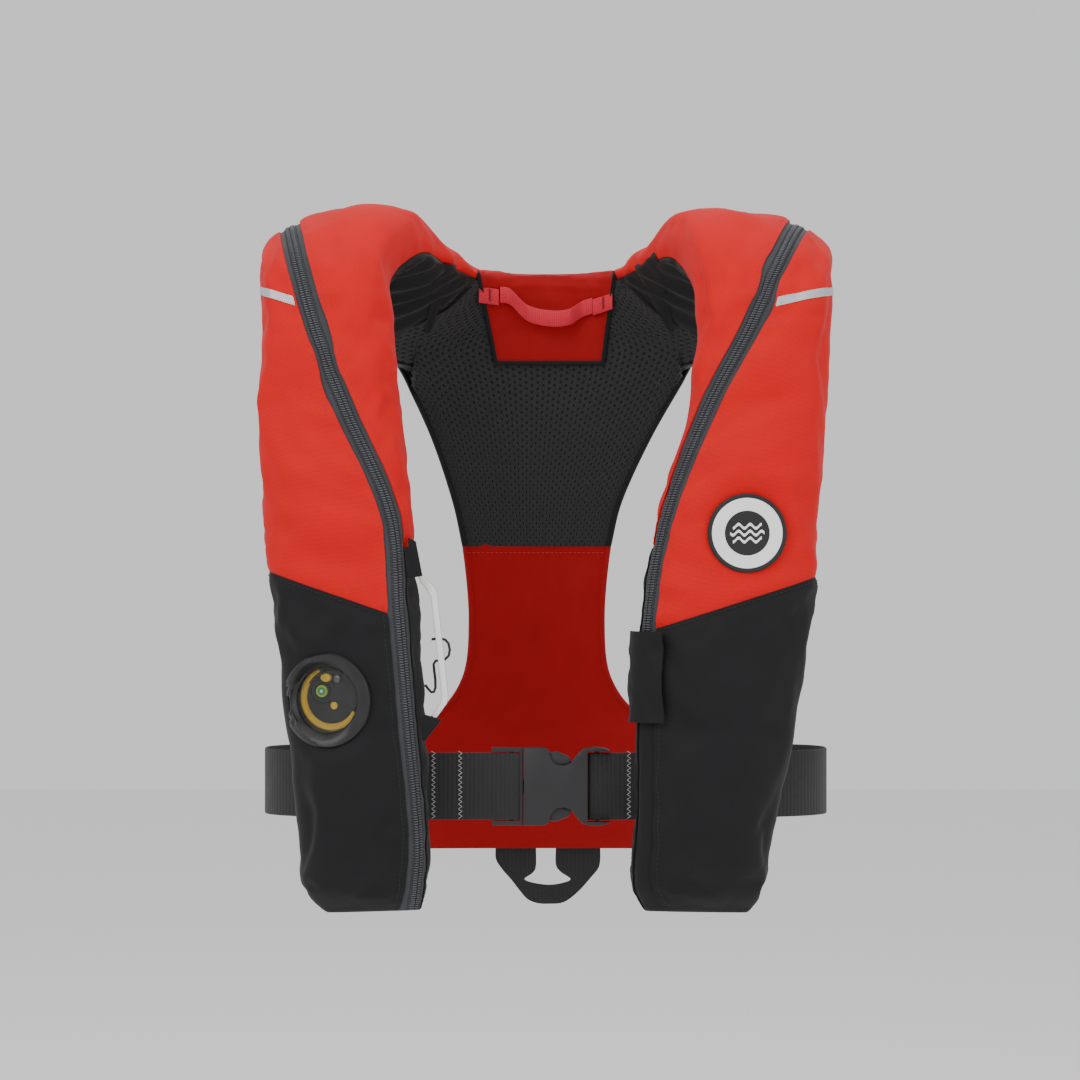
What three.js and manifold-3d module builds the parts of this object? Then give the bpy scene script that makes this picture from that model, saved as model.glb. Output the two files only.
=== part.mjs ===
// An inflatable life jacket of the horseshoe kind, closed round an absent wearer.
// Millimetres, +Z up. The origin is at the hang loop, at the back of the neck.
// The wearer faces -Y, so the wearer's right side is at -X.
import * as THREE from 'three';
import { mergeVertices } from 'three/addons/utils/BufferGeometryUtils.js';
import Module from 'manifold-3d';

const wasm = await Module();
wasm.setup();

// ---------------------------------------------------------------- driving dimensions

const CLEARANCE = 0.35;        // gap between pieces that touch
const FABRIC = 1.2;            // one laminated layer of the cover
const SECTION_POWER = 2.4;     // squareness of the padded section, 2 is an ellipse
const SHOULDER_CUT_Z = -22;    // level of the flex line at the shoulders, where the fronts swing
const STRIP_END_Z = -190;      // where the red strip beside the zip gives way to black

const WEB_WIDTH = 50;          // waist belt
const WEB_THICK = 1.8;
const BELT_Z = -369;
const BELT_HALF_X = 215.5;     // the belt ring, seen from above, is a superellipse
const BELT_MID_Y = -70;
const BELT_HALF_Y = 76;
const BELT_POWER = 2.6;
const BELT_FRONT_X = 108;      // the ring's two ends lie behind the fronts
const STRAP_REAR_Y = -151;
const STRAP_FRONT_Y = -156;
const BUCKLE_Y = -153.5;

const ZIP_WIDTH = 17;
const HEM_Z = -425;
const MESH_BOTTOM_Z = -190;

const WINDOW = { x: -160.5, y: -216, z: -302.4, turn: 20, ring: 34.5, clear: 26 };
const CORD_DIAMETER = 2;

// ---------------------------------------------------------------- materials

const finish = (color, roughness, metalness = 0) =>
  new THREE.MeshStandardMaterial({ color, roughness, metalness });

const RED_FABRIC = finish(0xd0222a, 0.75);
const DARK_RED = finish(0xb01e22, 0.8);
const BLACK_FABRIC = finish(0x1f1f21, 0.8);
const BLACK_LINING = finish(0x141416, 0.7);
const BLACK_MESH = finish(0x232326, 0.9);
const ZIP_GREY = finish(0x35363a, 0.6);
const WEB_BLACK = finish(0x161617, 0.85);
const WEB_RED = finish(0xd81030, 0.8);
const BUCKLE_GREY = finish(0x34343a, 0.5);
const REFLECTIVE = finish(0xb4b8bc, 0.4, 0.3);
const BLADDER_YELLOW = finish(0xe8d21c, 0.5);
const HANDLE_WHITE = finish(0xe9e9e7, 0.4);
const CAP_YELLOW = finish(0xe9b71c, 0.35);
const INFLATOR_BLACK = finish(0x2a2a2d, 0.5);
const INDICATOR_GREEN = finish(0x1f9a52, 0.3);
const CYLINDER_STEEL = finish(0xa7abae, 0.35, 0.9);
const WELD_BLACK = finish(0x2b2b30, 0.45);
const CLEAR_LENS = finish(0xdfe6ea, 0.05);
const BADGE_RUBBER = finish(0x17171a, 0.6);
const WHISTLE_ORANGE = finish(0xe4601a, 0.45);

// ---------------------------------------------------------------- helpers

const jacket = new THREE.Group();
const bodies = {};

function bodyGroup(name) {
  bodies[name] ??= jacket.add(new THREE.Group()).children.at(-1);
  return bodies[name];
}

function place(body, name, geometry, material) {
  const mesh = new THREE.Mesh(geometry, material);
  mesh.name = name;
  bodyGroup(body).add(mesh);
  return mesh;
}

const lerp = THREE.MathUtils.lerp;
const rad = THREE.MathUtils.degToRad;
const at = (x, y, z) => new THREE.Vector3(x, y, z);
const signedPower = (value, power) => Math.sign(value) * Math.abs(value) ** power;

function volumeOf(positions, index) {
  const a = at(0, 0, 0);
  const b = at(0, 0, 0);
  const c = at(0, 0, 0);
  let sum = 0;
  for (let k = 0; k < index.length; k += 3) {
    a.fromArray(positions, index[k] * 3);
    b.fromArray(positions, index[k + 1] * 3);
    c.fromArray(positions, index[k + 2] * 3);
    sum += a.dot(b.cross(c));
  }
  return sum / 6;
}

// A geometry from points and triangles, turned round if its faces point inwards.
function closedGeometry(points, index) {
  const positions = points.flatMap((p) => [p.x, p.y, p.z]);
  if (volumeOf(positions, index) < 0) index.reverse();
  const geometry = new THREE.BufferGeometry();
  geometry.setAttribute('position', new THREE.Float32BufferAttribute(positions, 3));
  geometry.setIndex(index);
  return geometry;
}

// A sheet with thickness: two grids of points, front and back, joined round their rim.
function sheet(front, back, stepsU, stepsV) {
  const points = [];
  for (const side of [front, back])
    for (let i = 0; i <= stepsU; i++)
      for (let j = 0; j <= stepsV; j++) points.push(side(i / stepsU, j / stepsV));
  const row = stepsV + 1;
  const backStart = (stepsU + 1) * row;
  const index = [];
  const quad = (a, b, c, d) => index.push(a, b, c, a, c, d);
  for (let i = 0; i < stepsU; i++)
    for (let j = 0; j < stepsV; j++) {
      const k = i * row + j;
      quad(k, k + 1, k + row + 1, k + row);
      quad(backStart + k, backStart + k + row, backStart + k + row + 1, backStart + k + 1);
    }
  const rim = [];
  for (let j = 0; j < stepsV; j++) rim.push(j);
  for (let i = 0; i < stepsU; i++) rim.push(i * row + stepsV);
  for (let j = stepsV; j > 0; j--) rim.push(stepsU * row + j);
  for (let i = stepsU; i > 0; i--) rim.push(i * row);
  rim.forEach((from, k) => {
    const to = rim[(k + 1) % rim.length];
    quad(to, from, backStart + from, backStart + to);
  });
  return closedGeometry(points, index);
}

// A solid swept through rings of points, closed by a fan at each end.
function loft(ringAt, stepsU, sides) {
  const points = [];
  for (let i = 0; i <= stepsU; i++)
    for (let j = 0; j < sides; j++) points.push(ringAt(i / stepsU, j / sides));
  const index = [];
  for (let i = 0; i < stepsU; i++)
    for (let j = 0; j < sides; j++) {
      const a = i * sides + j;
      const b = i * sides + ((j + 1) % sides);
      index.push(a, b, b + sides, a, b + sides, a + sides);
    }
  for (const [start, flip] of [[0, true], [stepsU * sides, false]]) {
    const middle = at(0, 0, 0);
    for (let j = 0; j < sides; j++) middle.add(points[start + j]);
    points.push(middle.divideScalar(sides));
    for (let j = 0; j < sides; j++) {
      const a = start + j;
      const b = start + ((j + 1) % sides);
      index.push(...(flip ? [points.length - 1, b, a] : [points.length - 1, a, b]));
    }
  }
  return closedGeometry(points, index);
}

// manifold-3d joins and cuts; these two turn a geometry into its solid and back.
function solidOf(geometry) {
  const bare = (geometry.index ? geometry.toNonIndexed() : geometry).clone();
  for (const name of Object.keys(bare.attributes))
    if (name !== 'position') bare.deleteAttribute(name);
  const merged = mergeVertices(bare, 1e-3);
  return new wasm.Manifold(new wasm.Mesh({
    numProp: 3,
    vertProperties: merged.attributes.position.array,
    triVerts: new Uint32Array(merged.index.array),
  }));
}

function geometryOf(solid) {
  const mesh = solid.getMesh();
  const geometry = new THREE.BufferGeometry();
  geometry.setAttribute('position', new THREE.Float32BufferAttribute(mesh.vertProperties, 3));
  geometry.setIndex([...mesh.triVerts]);
  return geometry;
}

const cut = (base, ...tools) => geometryOf(
  tools.reduce((solid, tool) => solid.subtract(solidOf(tool)), solidOf(base)));
const join = (base, ...others) => geometryOf(
  others.reduce((solid, other) => solid.add(solidOf(other)), solidOf(base)));

const box = (sx, sy, sz, x, y, z) => new THREE.BoxGeometry(sx, sy, sz).translate(x, y, z);

// An outline in the XZ plane, extruded along Y between two depths.
function plate(outline, yFront, yBack) {
  const shape = new THREE.Shape(outline.map(([x, z]) => new THREE.Vector2(x, z)));
  const geometry = new THREE.ExtrudeGeometry(shape, {
    depth: yBack - yFront, bevelEnabled: false, curveSegments: 8,
  });
  return geometry.rotateX(Math.PI / 2).translate(0, yBack, 0);
}

// A solid of revolution whose profile of [radius, height] starts and ends on the axis.
const turned = (profile, segments = 28) => new THREE.LatheGeometry(
  profile.map(([r, h]) => new THREE.Vector2(r, h)), segments).rotateX(Math.PI / 2);

// A flat ring of a rectangular section, its axis along Z.
const flatRing = (inner, outer, low, high, segments = 36) => turned(
  [[inner, low], [outer, low], [outer, high], [inner, high], [inner, low]], segments);

// ---------------------------------------------------------------- the horseshoe

// Stations up the right front, over the shoulder, round the neck and down the left front.
// Each has its outer edge, its inner (neck side) edge, the way its outside faces and half
// its thickness.
const STATIONS = [
  [[-160, -186, -463], [-93, -186, -461], [0, -1, 0], 4],
  [[-181, -188, -440], [-87.5, -188, -438], [0, -1, 0], 21],
  [[-185.5, -190, -400], [-85.5, -190, -400], [0, -1, 0], 29],
  [[-193.5, -191, -318], [-88, -191, -318], [0, -1, 0], 31],
  [[-201.5, -191, -240], [-93.5, -191, -240], [0, -1, 0], 31],
  [[-208.5, -189, -165], [-97.5, -189, -165], [0, -1, 0.02], 31],
  [[-212.5, -183, -90], [-104.5, -183, -92], [0, -1, 0.05], 30],
  [[-214, -172, -25], [-110.5, -175, -28], [-0.03, -1, 0.12], 30],
  [[-215, -152, 8], [-113, -160, 18], [-0.12, -0.72, 0.68], 30],
  [[-212, -105, 20], [-94, -112, 48], [-0.23, -0.02, 0.97], 29],
  [[-188, -50, -2], [-70, -62, 36], [-0.2, 0.62, 0.76], 24],
  [[-142, -12, -38], [-50, -20, 25], [-0.15, 0.92, 0.36], 18],
  [[-80, 8, -57], [-27, 4, 26], [-0.05, 0.99, 0.12], 15],
  [[0, 14, -62], [0, 13, 27], [0, 1, 0.03], 13],
  [[80, 8, -57], [27, 4, 26], [0.05, 0.99, 0.12], 15],
  [[144, -12, -38], [52, -20, 25], [0.15, 0.92, 0.36], 18],
  [[190, -50, -2], [70, -62, 35], [0.2, 0.62, 0.76], 24],
  [[213, -105, 20], [91, -112, 44], [0.23, -0.02, 0.97], 30],
  [[216, -152, 8], [106, -160, 16], [0.12, -0.72, 0.68], 30],
  [[215, -172, -25], [109.5, -175, -28], [0.03, -1, 0.12], 30],
  [[210, -183, -90], [102.5, -183, -92], [0, -1, 0.05], 30],
  [[203.5, -189, -165], [82, -189, -165], [0, -1, 0.02], 31],
  [[197, -191, -240], [69.5, -191, -240], [0, -1, 0], 31],
  [[187.5, -191, -318], [66.5, -191, -318], [0, -1, 0], 31],
  [[170.5, -190, -400], [65, -190, -400], [0, -1, 0], 29],
  [[162.5, -188, -440], [63.5, -188, -438], [0, -1, 0], 21],
  [[148, -186, -463], [75, -186, -462], [0, -1, 0], 4],
];
const LAST = STATIONS.length - 1;

// Where the zip's middle lies across the section: -1 at the outer edge, 1 at the inner one.
const ZIP_ACROSS = [
  0.84, 0.84, 0.84, 0.76, 0.745, 0.7, 0.22, -0.17, -0.38, -0.58, -0.7, -0.75, -0.78, -0.78,
  -0.78, -0.75, -0.7, -0.58, -0.25, 0.2, 0.72, 0.89, 0.92, 0.9, 0.88, 0.88, 0.88,
];

const smoothLine = (points) => new THREE.CatmullRomCurve3(points, false, 'catmullrom', 0.5);
const outerEdge = smoothLine(STATIONS.map(([outer]) => at(...outer)));
const innerEdge = smoothLine(STATIONS.map(([, inner]) => at(...inner)));
const facing = smoothLine(STATIONS.map(([, , normal]) => at(...normal).normalize()));
const numbers = smoothLine(STATIONS.map(([, , , half], k) => at(half, ZIP_ACROSS[k], 0)));

// The section's own frame at station t: middle, unit vectors across and outwards, half sizes.
function sectionAt(t) {
  const u = THREE.MathUtils.clamp(t / LAST, 0, 1);
  const outer = outerEdge.getPoint(u);
  const inner = innerEdge.getPoint(u);
  const across = inner.clone().sub(outer);
  const halfWidth = across.length() / 2;
  across.normalize();
  const out = facing.getPoint(u);
  out.addScaledVector(across, -out.dot(across)).normalize();
  const middle = outer.add(inner).multiplyScalar(0.5);
  const { x: halfThick, y: zipAcross } = numbers.getPoint(u);
  return { middle, across, out, halfWidth, halfThick, zipAcross };
}

// A point of the padded surface. The angle runs from 0 at the outer edge through 90 on the
// outside to 180 at the inner edge, and on round the wearer's side; inset goes inwards.
function skin(t, angle, inset) {
  const s = sectionAt(t);
  const turn = rad(angle);
  const w = -signedPower(Math.cos(turn), 2 / SECTION_POWER) * (s.halfWidth - inset);
  const n = signedPower(Math.sin(turn), 2 / SECTION_POWER) * (s.halfThick - inset);
  return s.middle.addScaledVector(s.across, w).addScaledVector(s.out, n);
}

const angleAcross = (across) =>
  THREE.MathUtils.radToDeg(Math.acos(-signedPower(across, SECTION_POWER / 2)));
const zipAngle = (t) => angleAcross(sectionAt(t).zipAcross);

// The surface's outward normal.
function skinNormal(t, angle) {
  const along = skin(t + 0.02, angle, 0).sub(skin(t - 0.02, angle, 0));
  const round = skin(t, angle + 0.5, 0).sub(skin(t, angle - 0.5, 0));
  const normal = along.cross(round).normalize();
  const fromMiddle = skin(t, angle, 0).sub(sectionAt(t).middle);
  return normal.dot(fromMiddle) < 0 ? normal.negate() : normal;
}

// The angle that lies a distance along the surface from the zip's middle.
function besideZip(t, distance) {
  const angle = zipAngle(t);
  const step = 2;
  const perDegree = skin(t, angle - step, 0).distanceTo(skin(t, angle + step, 0)) / (2 * step);
  return angle + distance / perDegree;
}

// The station, between two, where the surface at this angle meets a level that may slope.
function stationAtLevel(level, from, to, angle, inset) {
  let low = from;
  let high = to;
  const rises = skin(high, angle, inset).z > skin(low, angle, inset).z;
  for (let k = 0; k < 26; k++) {
    const middle = (low + high) / 2;
    const p = skin(middle, angle, inset);
    if ((p.z < level(p.x)) === rises) low = middle;
    else high = middle;
  }
  return (low + high) / 2;
}

const fixed = (t) => () => t;
const flat = (z) => () => z;
const atLevel = (level, from, to) => (angle, inset) =>
  stationAtLevel(level, from, to, angle, inset);

// A piece of cover: stations from start to end, angles from low(t) to high(t).
function coverPiece(start, end, low, high, outside, inside, stepsT, stepsA) {
  const layer = (inset) => (u, v) => {
    let t = (start(90, inset) + end(90, inset)) / 2;
    let angle = 90;
    for (let k = 0; k < 7; k++) {
      angle = lerp(low(t), high(t), v);
      t = lerp(start(angle, inset), end(angle, inset), u);
    }
    return skin(t, angle, inset);
  };
  return sheet(layer(outside), layer(inside), stepsT, stepsA);
}

const COVER_FROM = -28;        // the cover wraps a little round both edges
const COVER_TO = 205;
const BACKING_FROM = 208;
const BACKING_TO = 329;
const FRONT_BOTTOM = 0.12;

const belowCut = SHOULDER_CUT_Z - CLEARANCE;
const aboveCut = SHOULDER_CUT_Z + CLEARANCE;
const coverInnerSide = (t) => Math.max(COVER_TO, besideZip(t, ZIP_WIDTH / 2) + 5);

// The zip's tape, and the slot that it leaves in the cover, a little wider on each side.
const SLOT_GAP = 0.8;
const zipTape = (start, end, steps) => coverPiece(start, end,
  (t) => besideZip(t, -ZIP_WIDTH / 2), (t) => besideZip(t, ZIP_WIDTH / 2), -1, FABRIC, steps, 2);
const zipSlot = (start, end, steps) => coverPiece(start, end,
  (t) => besideZip(t, -ZIP_WIDTH / 2 - SLOT_GAP), (t) => besideZip(t, ZIP_WIDTH / 2 + SLOT_GAP),
  -3, FABRIC + 2.5, steps, 2);
const FRONT_ZIP_STEPS = 16;
const COLLAR_ZIP_STEPS = 28;

const SIDES = {
  right: {
    bottom: FRONT_BOTTOM, low: 1, high: 9,
    seam: (x) => lerp(-209, -239, (x + 202) / 88),
  },
  left: {
    bottom: LAST - FRONT_BOTTOM, low: LAST - 1, high: LAST - 9,
    seam: (x) => lerp(-250, -212, THREE.MathUtils.clamp((x - 80) / 120, -0.2, 1.2)),
  },
};

const collarStart = atLevel(flat(aboveCut), 5, 9);
const collarEnd = atLevel(flat(aboveCut), LAST - 5, LAST - 9);
const RIGHT_SEAM = 11;         // cross seams of the collar's cover, behind each shoulder
const LEFT_SEAM = 15;
const SEAM_GAP = 0.008;

// ---------------------------------------------------------------- fronts' covers

for (const [side, { bottom, low, high, seam }] of Object.entries(SIDES)) {
  const body = `${side}_front`;
  const cutLine = atLevel(flat(belowCut), low, high);
  const above = atLevel((x) => seam(x) + CLEARANCE, low, high);
  const below = atLevel((x) => seam(x) - CLEARANCE, low, high);
  const stripLow = atLevel(flat(STRIP_END_Z + CLEARANCE), low, high);
  const stripHigh = atLevel(flat(STRIP_END_Z - CLEARANCE), low, high);
  const edge = fixed(COVER_FROM);
  const end = fixed(bottom);
  const slot = zipSlot(fixed(bottom + Math.sign(low - high) * 0.02),
    atLevel(flat(belowCut + 1), low, high), FRONT_ZIP_STEPS);
  const piece = (name, ...range) => place(body, `${side}_${name}`,
    cut(coverPiece(...range), slot), name.startsWith('cover') ? RED_FABRIC : BLACK_FABRIC);
  piece('cover', above, cutLine, edge, zipAngle, 0, FABRIC, 7, 6);
  piece('cover_inner', stripLow, cutLine, zipAngle, coverInnerSide, 0, FABRIC, 6, 5);
  piece('panel', end, below, edge, zipAngle, 0, FABRIC, 8, 6);
  piece('panel_inner', end, stripHigh, zipAngle, coverInnerSide, 0, FABRIC, 8, 3);
  place(body, `${side}_backing`, coverPiece(end, cutLine,
    (t) => coverInnerSide(t) + 3, fixed(BACKING_TO), 0, FABRIC, 12, 5), BLACK_LINING);
  place(body, `${side}_zip`, zipTape(end, cutLine, FRONT_ZIP_STEPS), ZIP_GREY);
}

// ---------------------------------------------------------------- collar and shoulders

const collarSlot = zipSlot(atLevel(flat(aboveCut - 1), 5, 9),
  atLevel(flat(aboveCut - 1), LAST - 5, LAST - 9), COLLAR_ZIP_STEPS);
const collarPiece = (name, ...range) => place('jacket', name,
  cut(coverPiece(...range), collarSlot), RED_FABRIC);
collarPiece('shoulder_cover_right', collarStart, fixed(RIGHT_SEAM - SEAM_GAP),
  zipAngle, coverInnerSide, 0, FABRIC, 8, 7);
collarPiece('collar_cover', fixed(RIGHT_SEAM), fixed(LEFT_SEAM),
  zipAngle, coverInnerSide, 0, FABRIC, 8, 6);
collarPiece('shoulder_cover_left', collarEnd, fixed(LEFT_SEAM + SEAM_GAP),
  zipAngle, coverInnerSide, 0, FABRIC, 8, 7);
collarPiece('collar_edge', collarStart, collarEnd,
  fixed(COVER_FROM), zipAngle, 0, FABRIC, 24, 4);
place('jacket', 'collar_zip', zipTape(collarStart, collarEnd, COLLAR_ZIP_STEPS), ZIP_GREY);
place('jacket', 'shoulder_lining_right', coverPiece(collarStart, fixed(RIGHT_SEAM - SEAM_GAP),
  fixed(BACKING_FROM), fixed(BACKING_TO), 0, FABRIC, 7, 4), BLACK_LINING);
place('jacket', 'collar_mesh', coverPiece(fixed(RIGHT_SEAM), fixed(LEFT_SEAM),
  fixed(BACKING_FROM), fixed(BACKING_TO), 0, FABRIC, 8, 4), BLACK_MESH);
place('jacket', 'shoulder_lining_left', coverPiece(collarEnd, fixed(LEFT_SEAM + SEAM_GAP),
  fixed(BACKING_FROM), fixed(BACKING_TO), 0, FABRIC, 7, 4), BLACK_LINING);

// A reflective strip crosses each outer shoulder, from the outer edge to the zip.
const STRIP_HALF = 3;
const STRIPS = {
  right: { line: (x) => lerp(0, -10, (x + 213) / 31), from: 6, to: 9 },
  left: { line: (x) => lerp(-10, 0, (x - 170) / 45), from: LAST - 6, to: LAST - 9 },
};
for (const [side, { line, from, to }] of Object.entries(STRIPS))
  place('jacket', `reflective_${side}`, coverPiece(
    atLevel((x) => line(x) - STRIP_HALF, from, to), atLevel((x) => line(x) + STRIP_HALF, from, to),
    fixed(-5), (t) => besideZip(t, -ZIP_WIDTH / 2 - 2), -1.4, -0.8, 1, 6), REFLECTIVE);

// ---------------------------------------------------------------- bladder

// The folded bladder fills the cover. Where the inflator, the cylinder and the oral tube sit
// in front of it, it keeps to the wearer's half of the section.
const BLADDER_INSET = 4.5;
const BLADDER_STEP_FRONT = -9;

function bladderRing(t, inset, frontOut) {
  const s = sectionAt(t);
  const back = -(s.halfThick - inset);
  const front = Math.min(frontOut, s.halfThick - inset);
  const middle = (front + back) / 2;
  const half = (front - back) / 2;
  const narrowing = (1 - Math.abs(middle / s.halfThick) ** SECTION_POWER) ** (1 / SECTION_POWER);
  return (v) => {
    const turn = 2 * Math.PI * v;
    const w = -signedPower(Math.cos(turn), 2 / SECTION_POWER)
      * (s.halfWidth * narrowing - inset - 3);
    const n = middle + signedPower(Math.sin(turn), 2 / SECTION_POWER) * half;
    return s.middle.clone().addScaledVector(s.across, w).addScaledVector(s.out, n);
  };
}

function flattened(z, bottom, top) {
  const ramp = 25;
  const inside = Math.min(z - bottom, top - z);
  return lerp(BLADDER_STEP_FRONT, 40, THREE.MathUtils.clamp(-inside / ramp, 0, 1));
}

function frontBladder(side, bottom, top) {
  const start = side === 'right' ? 0.9 : LAST - 0.9;
  const stop = side === 'right' ? 6.85 : LAST - 6.85;
  return loft((u, v) => {
    const t = lerp(start, stop, u);
    return bladderRing(t, BLADDER_INSET, flattened(sectionAt(t).middle.z, bottom, top))(v);
  }, 16, 12);
}
const INFLATOR_BAY = [-352, -128];
const ORAL_TUBE_BAY = [-330, -118];
place('right_front', 'right_bladder', frontBladder('right', ...INFLATOR_BAY), BLADDER_YELLOW);
place('left_front', 'left_bladder', frontBladder('left', ...ORAL_TUBE_BAY), BLADDER_YELLOW);
place('jacket', 'collar_bladder', loft(
  (u, v) => bladderRing(lerp(7.75, LAST - 7.75, u), BLADDER_INSET, 40)(v), 26, 10),
BLADDER_YELLOW);

// ---------------------------------------------------------------- window and inflator

// Pieces of the window and inflator are made about their own +Z and then face outwards.
function facingOut(geometry, x, y, z) {
  return geometry.translate(x, y, z).rotateX(Math.PI / 2).rotateZ(-rad(WINDOW.turn))
    .translate(WINDOW.x, WINDOW.y, WINDOW.z);
}

const rightPanel = bodies.right_front.children.find(({ name }) => name === 'right_panel');
rightPanel.geometry = cut(rightPanel.geometry, facingOut(
  new THREE.CylinderGeometry(WINDOW.ring + 0.8, WINDOW.ring + 0.8, 60, 40).rotateX(Math.PI / 2),
  0, 0, 0));

place('right_front', 'window_ring', facingOut(
  flatRing(WINDOW.clear, WINDOW.ring, -1.2, 1.2), 0, 0, 0), WELD_BLACK);
place('right_front', 'window_lens', facingOut(turned(
  [[0, -0.5], [WINDOW.clear - CLEARANCE, -0.5], [WINDOW.clear - CLEARANCE, 0.5], [0, 1.2]], 36),
0, 0, 0), CLEAR_LENS);

const CAP = { x: 1.5, y: 2, outer: 25, inner: 20.5, front: -4, back: -10 };
place('right_front', 'inflator_cap', facingOut(
  flatRing(CAP.inner, CAP.outer, CAP.back, CAP.front), CAP.x, CAP.y, 0), CAP_YELLOW);
place('right_front', 'inflator_body', facingOut(join(
  turned([[0, -27], [22, -27], [24, -25], [24, CAP.back - CLEARANCE],
    [CAP.inner - CLEARANCE, CAP.back - CLEARANCE], [CAP.inner - CLEARANCE, -5.5], [0, -5.5]], 32),
  box(14, 6, 14, 0, 25.5, -18)), CAP.x, CAP.y, 0), INFLATOR_BLACK);
place('right_front', 'inflator_key', facingOut(
  turned([[0, -5.1], [3.4, -5.1], [3.4, -3.6], [0, -3.2]], 16).scale(1.2, 0.9, 1),
  -2.5, 15.5, 0), CAP_YELLOW);
place('right_front', 'inflator_indicator', facingOut(
  turned([[0, -5.1], [4.2, -5.1], [4.2, -3.8], [0, -3.4]], 16), -6, 6.5, 0), INDICATOR_GREEN);

// The gas cylinder screws up out of the inflator's top.
const CYLINDER = { radius: 12.5, length: 118, neck: 4.5 };
place('right_front', 'gas_cylinder', facingOut(turned([
  [0, 0], [CYLINDER.neck, 0], [CYLINDER.neck, 9], [CYLINDER.radius, 20],
  [CYLINDER.radius, CYLINDER.length - 7], [8, CYLINDER.length], [0, CYLINDER.length + 1]], 16)
  .rotateX(-Math.PI / 2), CAP.x, CAP.y + 28.5 + CLEARANCE, -18), CYLINDER_STEEL);

// The lever that the pull cord turns, on the inflator's neck side.
place('lever', 'inflator_lever', facingOut(join(
  turned([[0, -24], [4, -24], [4, -16], [0, -16]], 16),
  box(3.5, 16, 5, 0, -8, -20)), CAP.x + 30, CAP.y + 4, 0), INFLATOR_BLACK);

// ---------------------------------------------------------------- pull handle and cord

const HANDLE_Y = [-196, -184];
const HANDLE_LINE = [
  [-94.6, -210.5], [-91, -211], [-84, -217.5], [-80.5, -223], [-76.2, -262], [-72, -300],
  [-73, -305.5], [-81, -316.5], [-84.6, -315], [-77.8, -304.5], [-77, -300], [-81, -262],
  [-85, -227.5], [-88, -221.5], [-92.6, -216],
];
place('pull_handle', 'pull_handle', cut(
  plate(HANDLE_LINE, ...HANDLE_Y),
  box(12, 4.2, 4.2, -79, -190, -274), box(12, 4.2, 4.2, -77, -190, -258)), HANDLE_WHITE);

// Tab above and pocket below, each a fold of fabric in front of the handle's ends.
place('right_front', 'handle_tab', plate(
  [[-101.2, -183], [-95.5, -186], [-90.6, -211.5], [-101, -213]], -210, -207.6), BLACK_FABRIC);
place('right_front', 'handle_pocket', plate(
  [[-91, -312.4], [-76.5, -316.8], [-89, -333], [-91, -331.5]], -210, -207.6), BLACK_FABRIC);

// The cord leaves the cover's edge, passes twice through the handle and is knotted behind it.
const CORD_ROUTE = [
  [-89.2, -190, -292], [-86.9, -190.6, -295], [-84.6, -191, -297.4], [-82.6, -191, -297],
  [-81.6, -190.8, -294], [-81.7, -190.4, -288], [-82.6, -190.1, -281], [-83, -190, -276.6],
  [-81.4, -190, -274.2], [-78.4, -190, -273.9], [-74.6, -190, -273.2], [-71.8, -190, -270.4],
  [-71, -190, -266], [-72, -190, -261.4], [-74.4, -190, -258.6], [-77.6, -190, -258],
  [-81.6, -190, -258], [-84.6, -190, -258.4],
];
const cordCurve = new THREE.CatmullRomCurve3(CORD_ROUTE.map((p) => at(...p)));
const cordSection = new THREE.Shape(Array.from({ length: 8 }, (_, k) => new THREE.Vector2(
  Math.cos(k * Math.PI / 4) * CORD_DIAMETER / 2, Math.sin(k * Math.PI / 4) * CORD_DIAMETER / 2)));
place('pull_handle', 'pull_cord', new THREE.ExtrudeGeometry(cordSection, {
  steps: 24, extrudePath: cordCurve, bevelEnabled: false,
}), WEB_BLACK);

// ---------------------------------------------------------------- left front's pieces

const badgeSpot = skin(LAST - 5.15, angleAcross(-0.08), 0);
place('left_front', 'badge', turned([[0, 0], [29, 0], [29, 1.4], [27.5, 2], [0, 2]], 40)
  .rotateX(Math.PI / 2).translate(147, badgeSpot.y - 2.5, -180), BADGE_RUBBER);

const ORAL = { x: 128, y: -207, radius: 5, bottom: -296, top: -190 };
place('left_front', 'oral_tube', turned([[0, 0], [9, 0], [9, 2], [ORAL.radius, 4],
  [ORAL.radius, ORAL.top - ORAL.bottom], [0, ORAL.top - ORAL.bottom]], 14)
  .translate(ORAL.x, ORAL.y, ORAL.bottom), BLADDER_YELLOW);
place('oral_cap', 'oral_cap', turned([[0, 0], [6.5, 0], [7, 3], [7, 10], [5, 13], [0, 14]], 14)
  .translate(ORAL.x, ORAL.y, ORAL.top + CLEARANCE), WEB_BLACK);
place('left_front', 'whistle', cut(
  box(13, 9, 44, 160, -205, -262), box(7, 5, 30, 160, -205, -247),
  box(4, 12, 4, 160, -205, -279)), WHISTLE_ORANGE);

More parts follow.
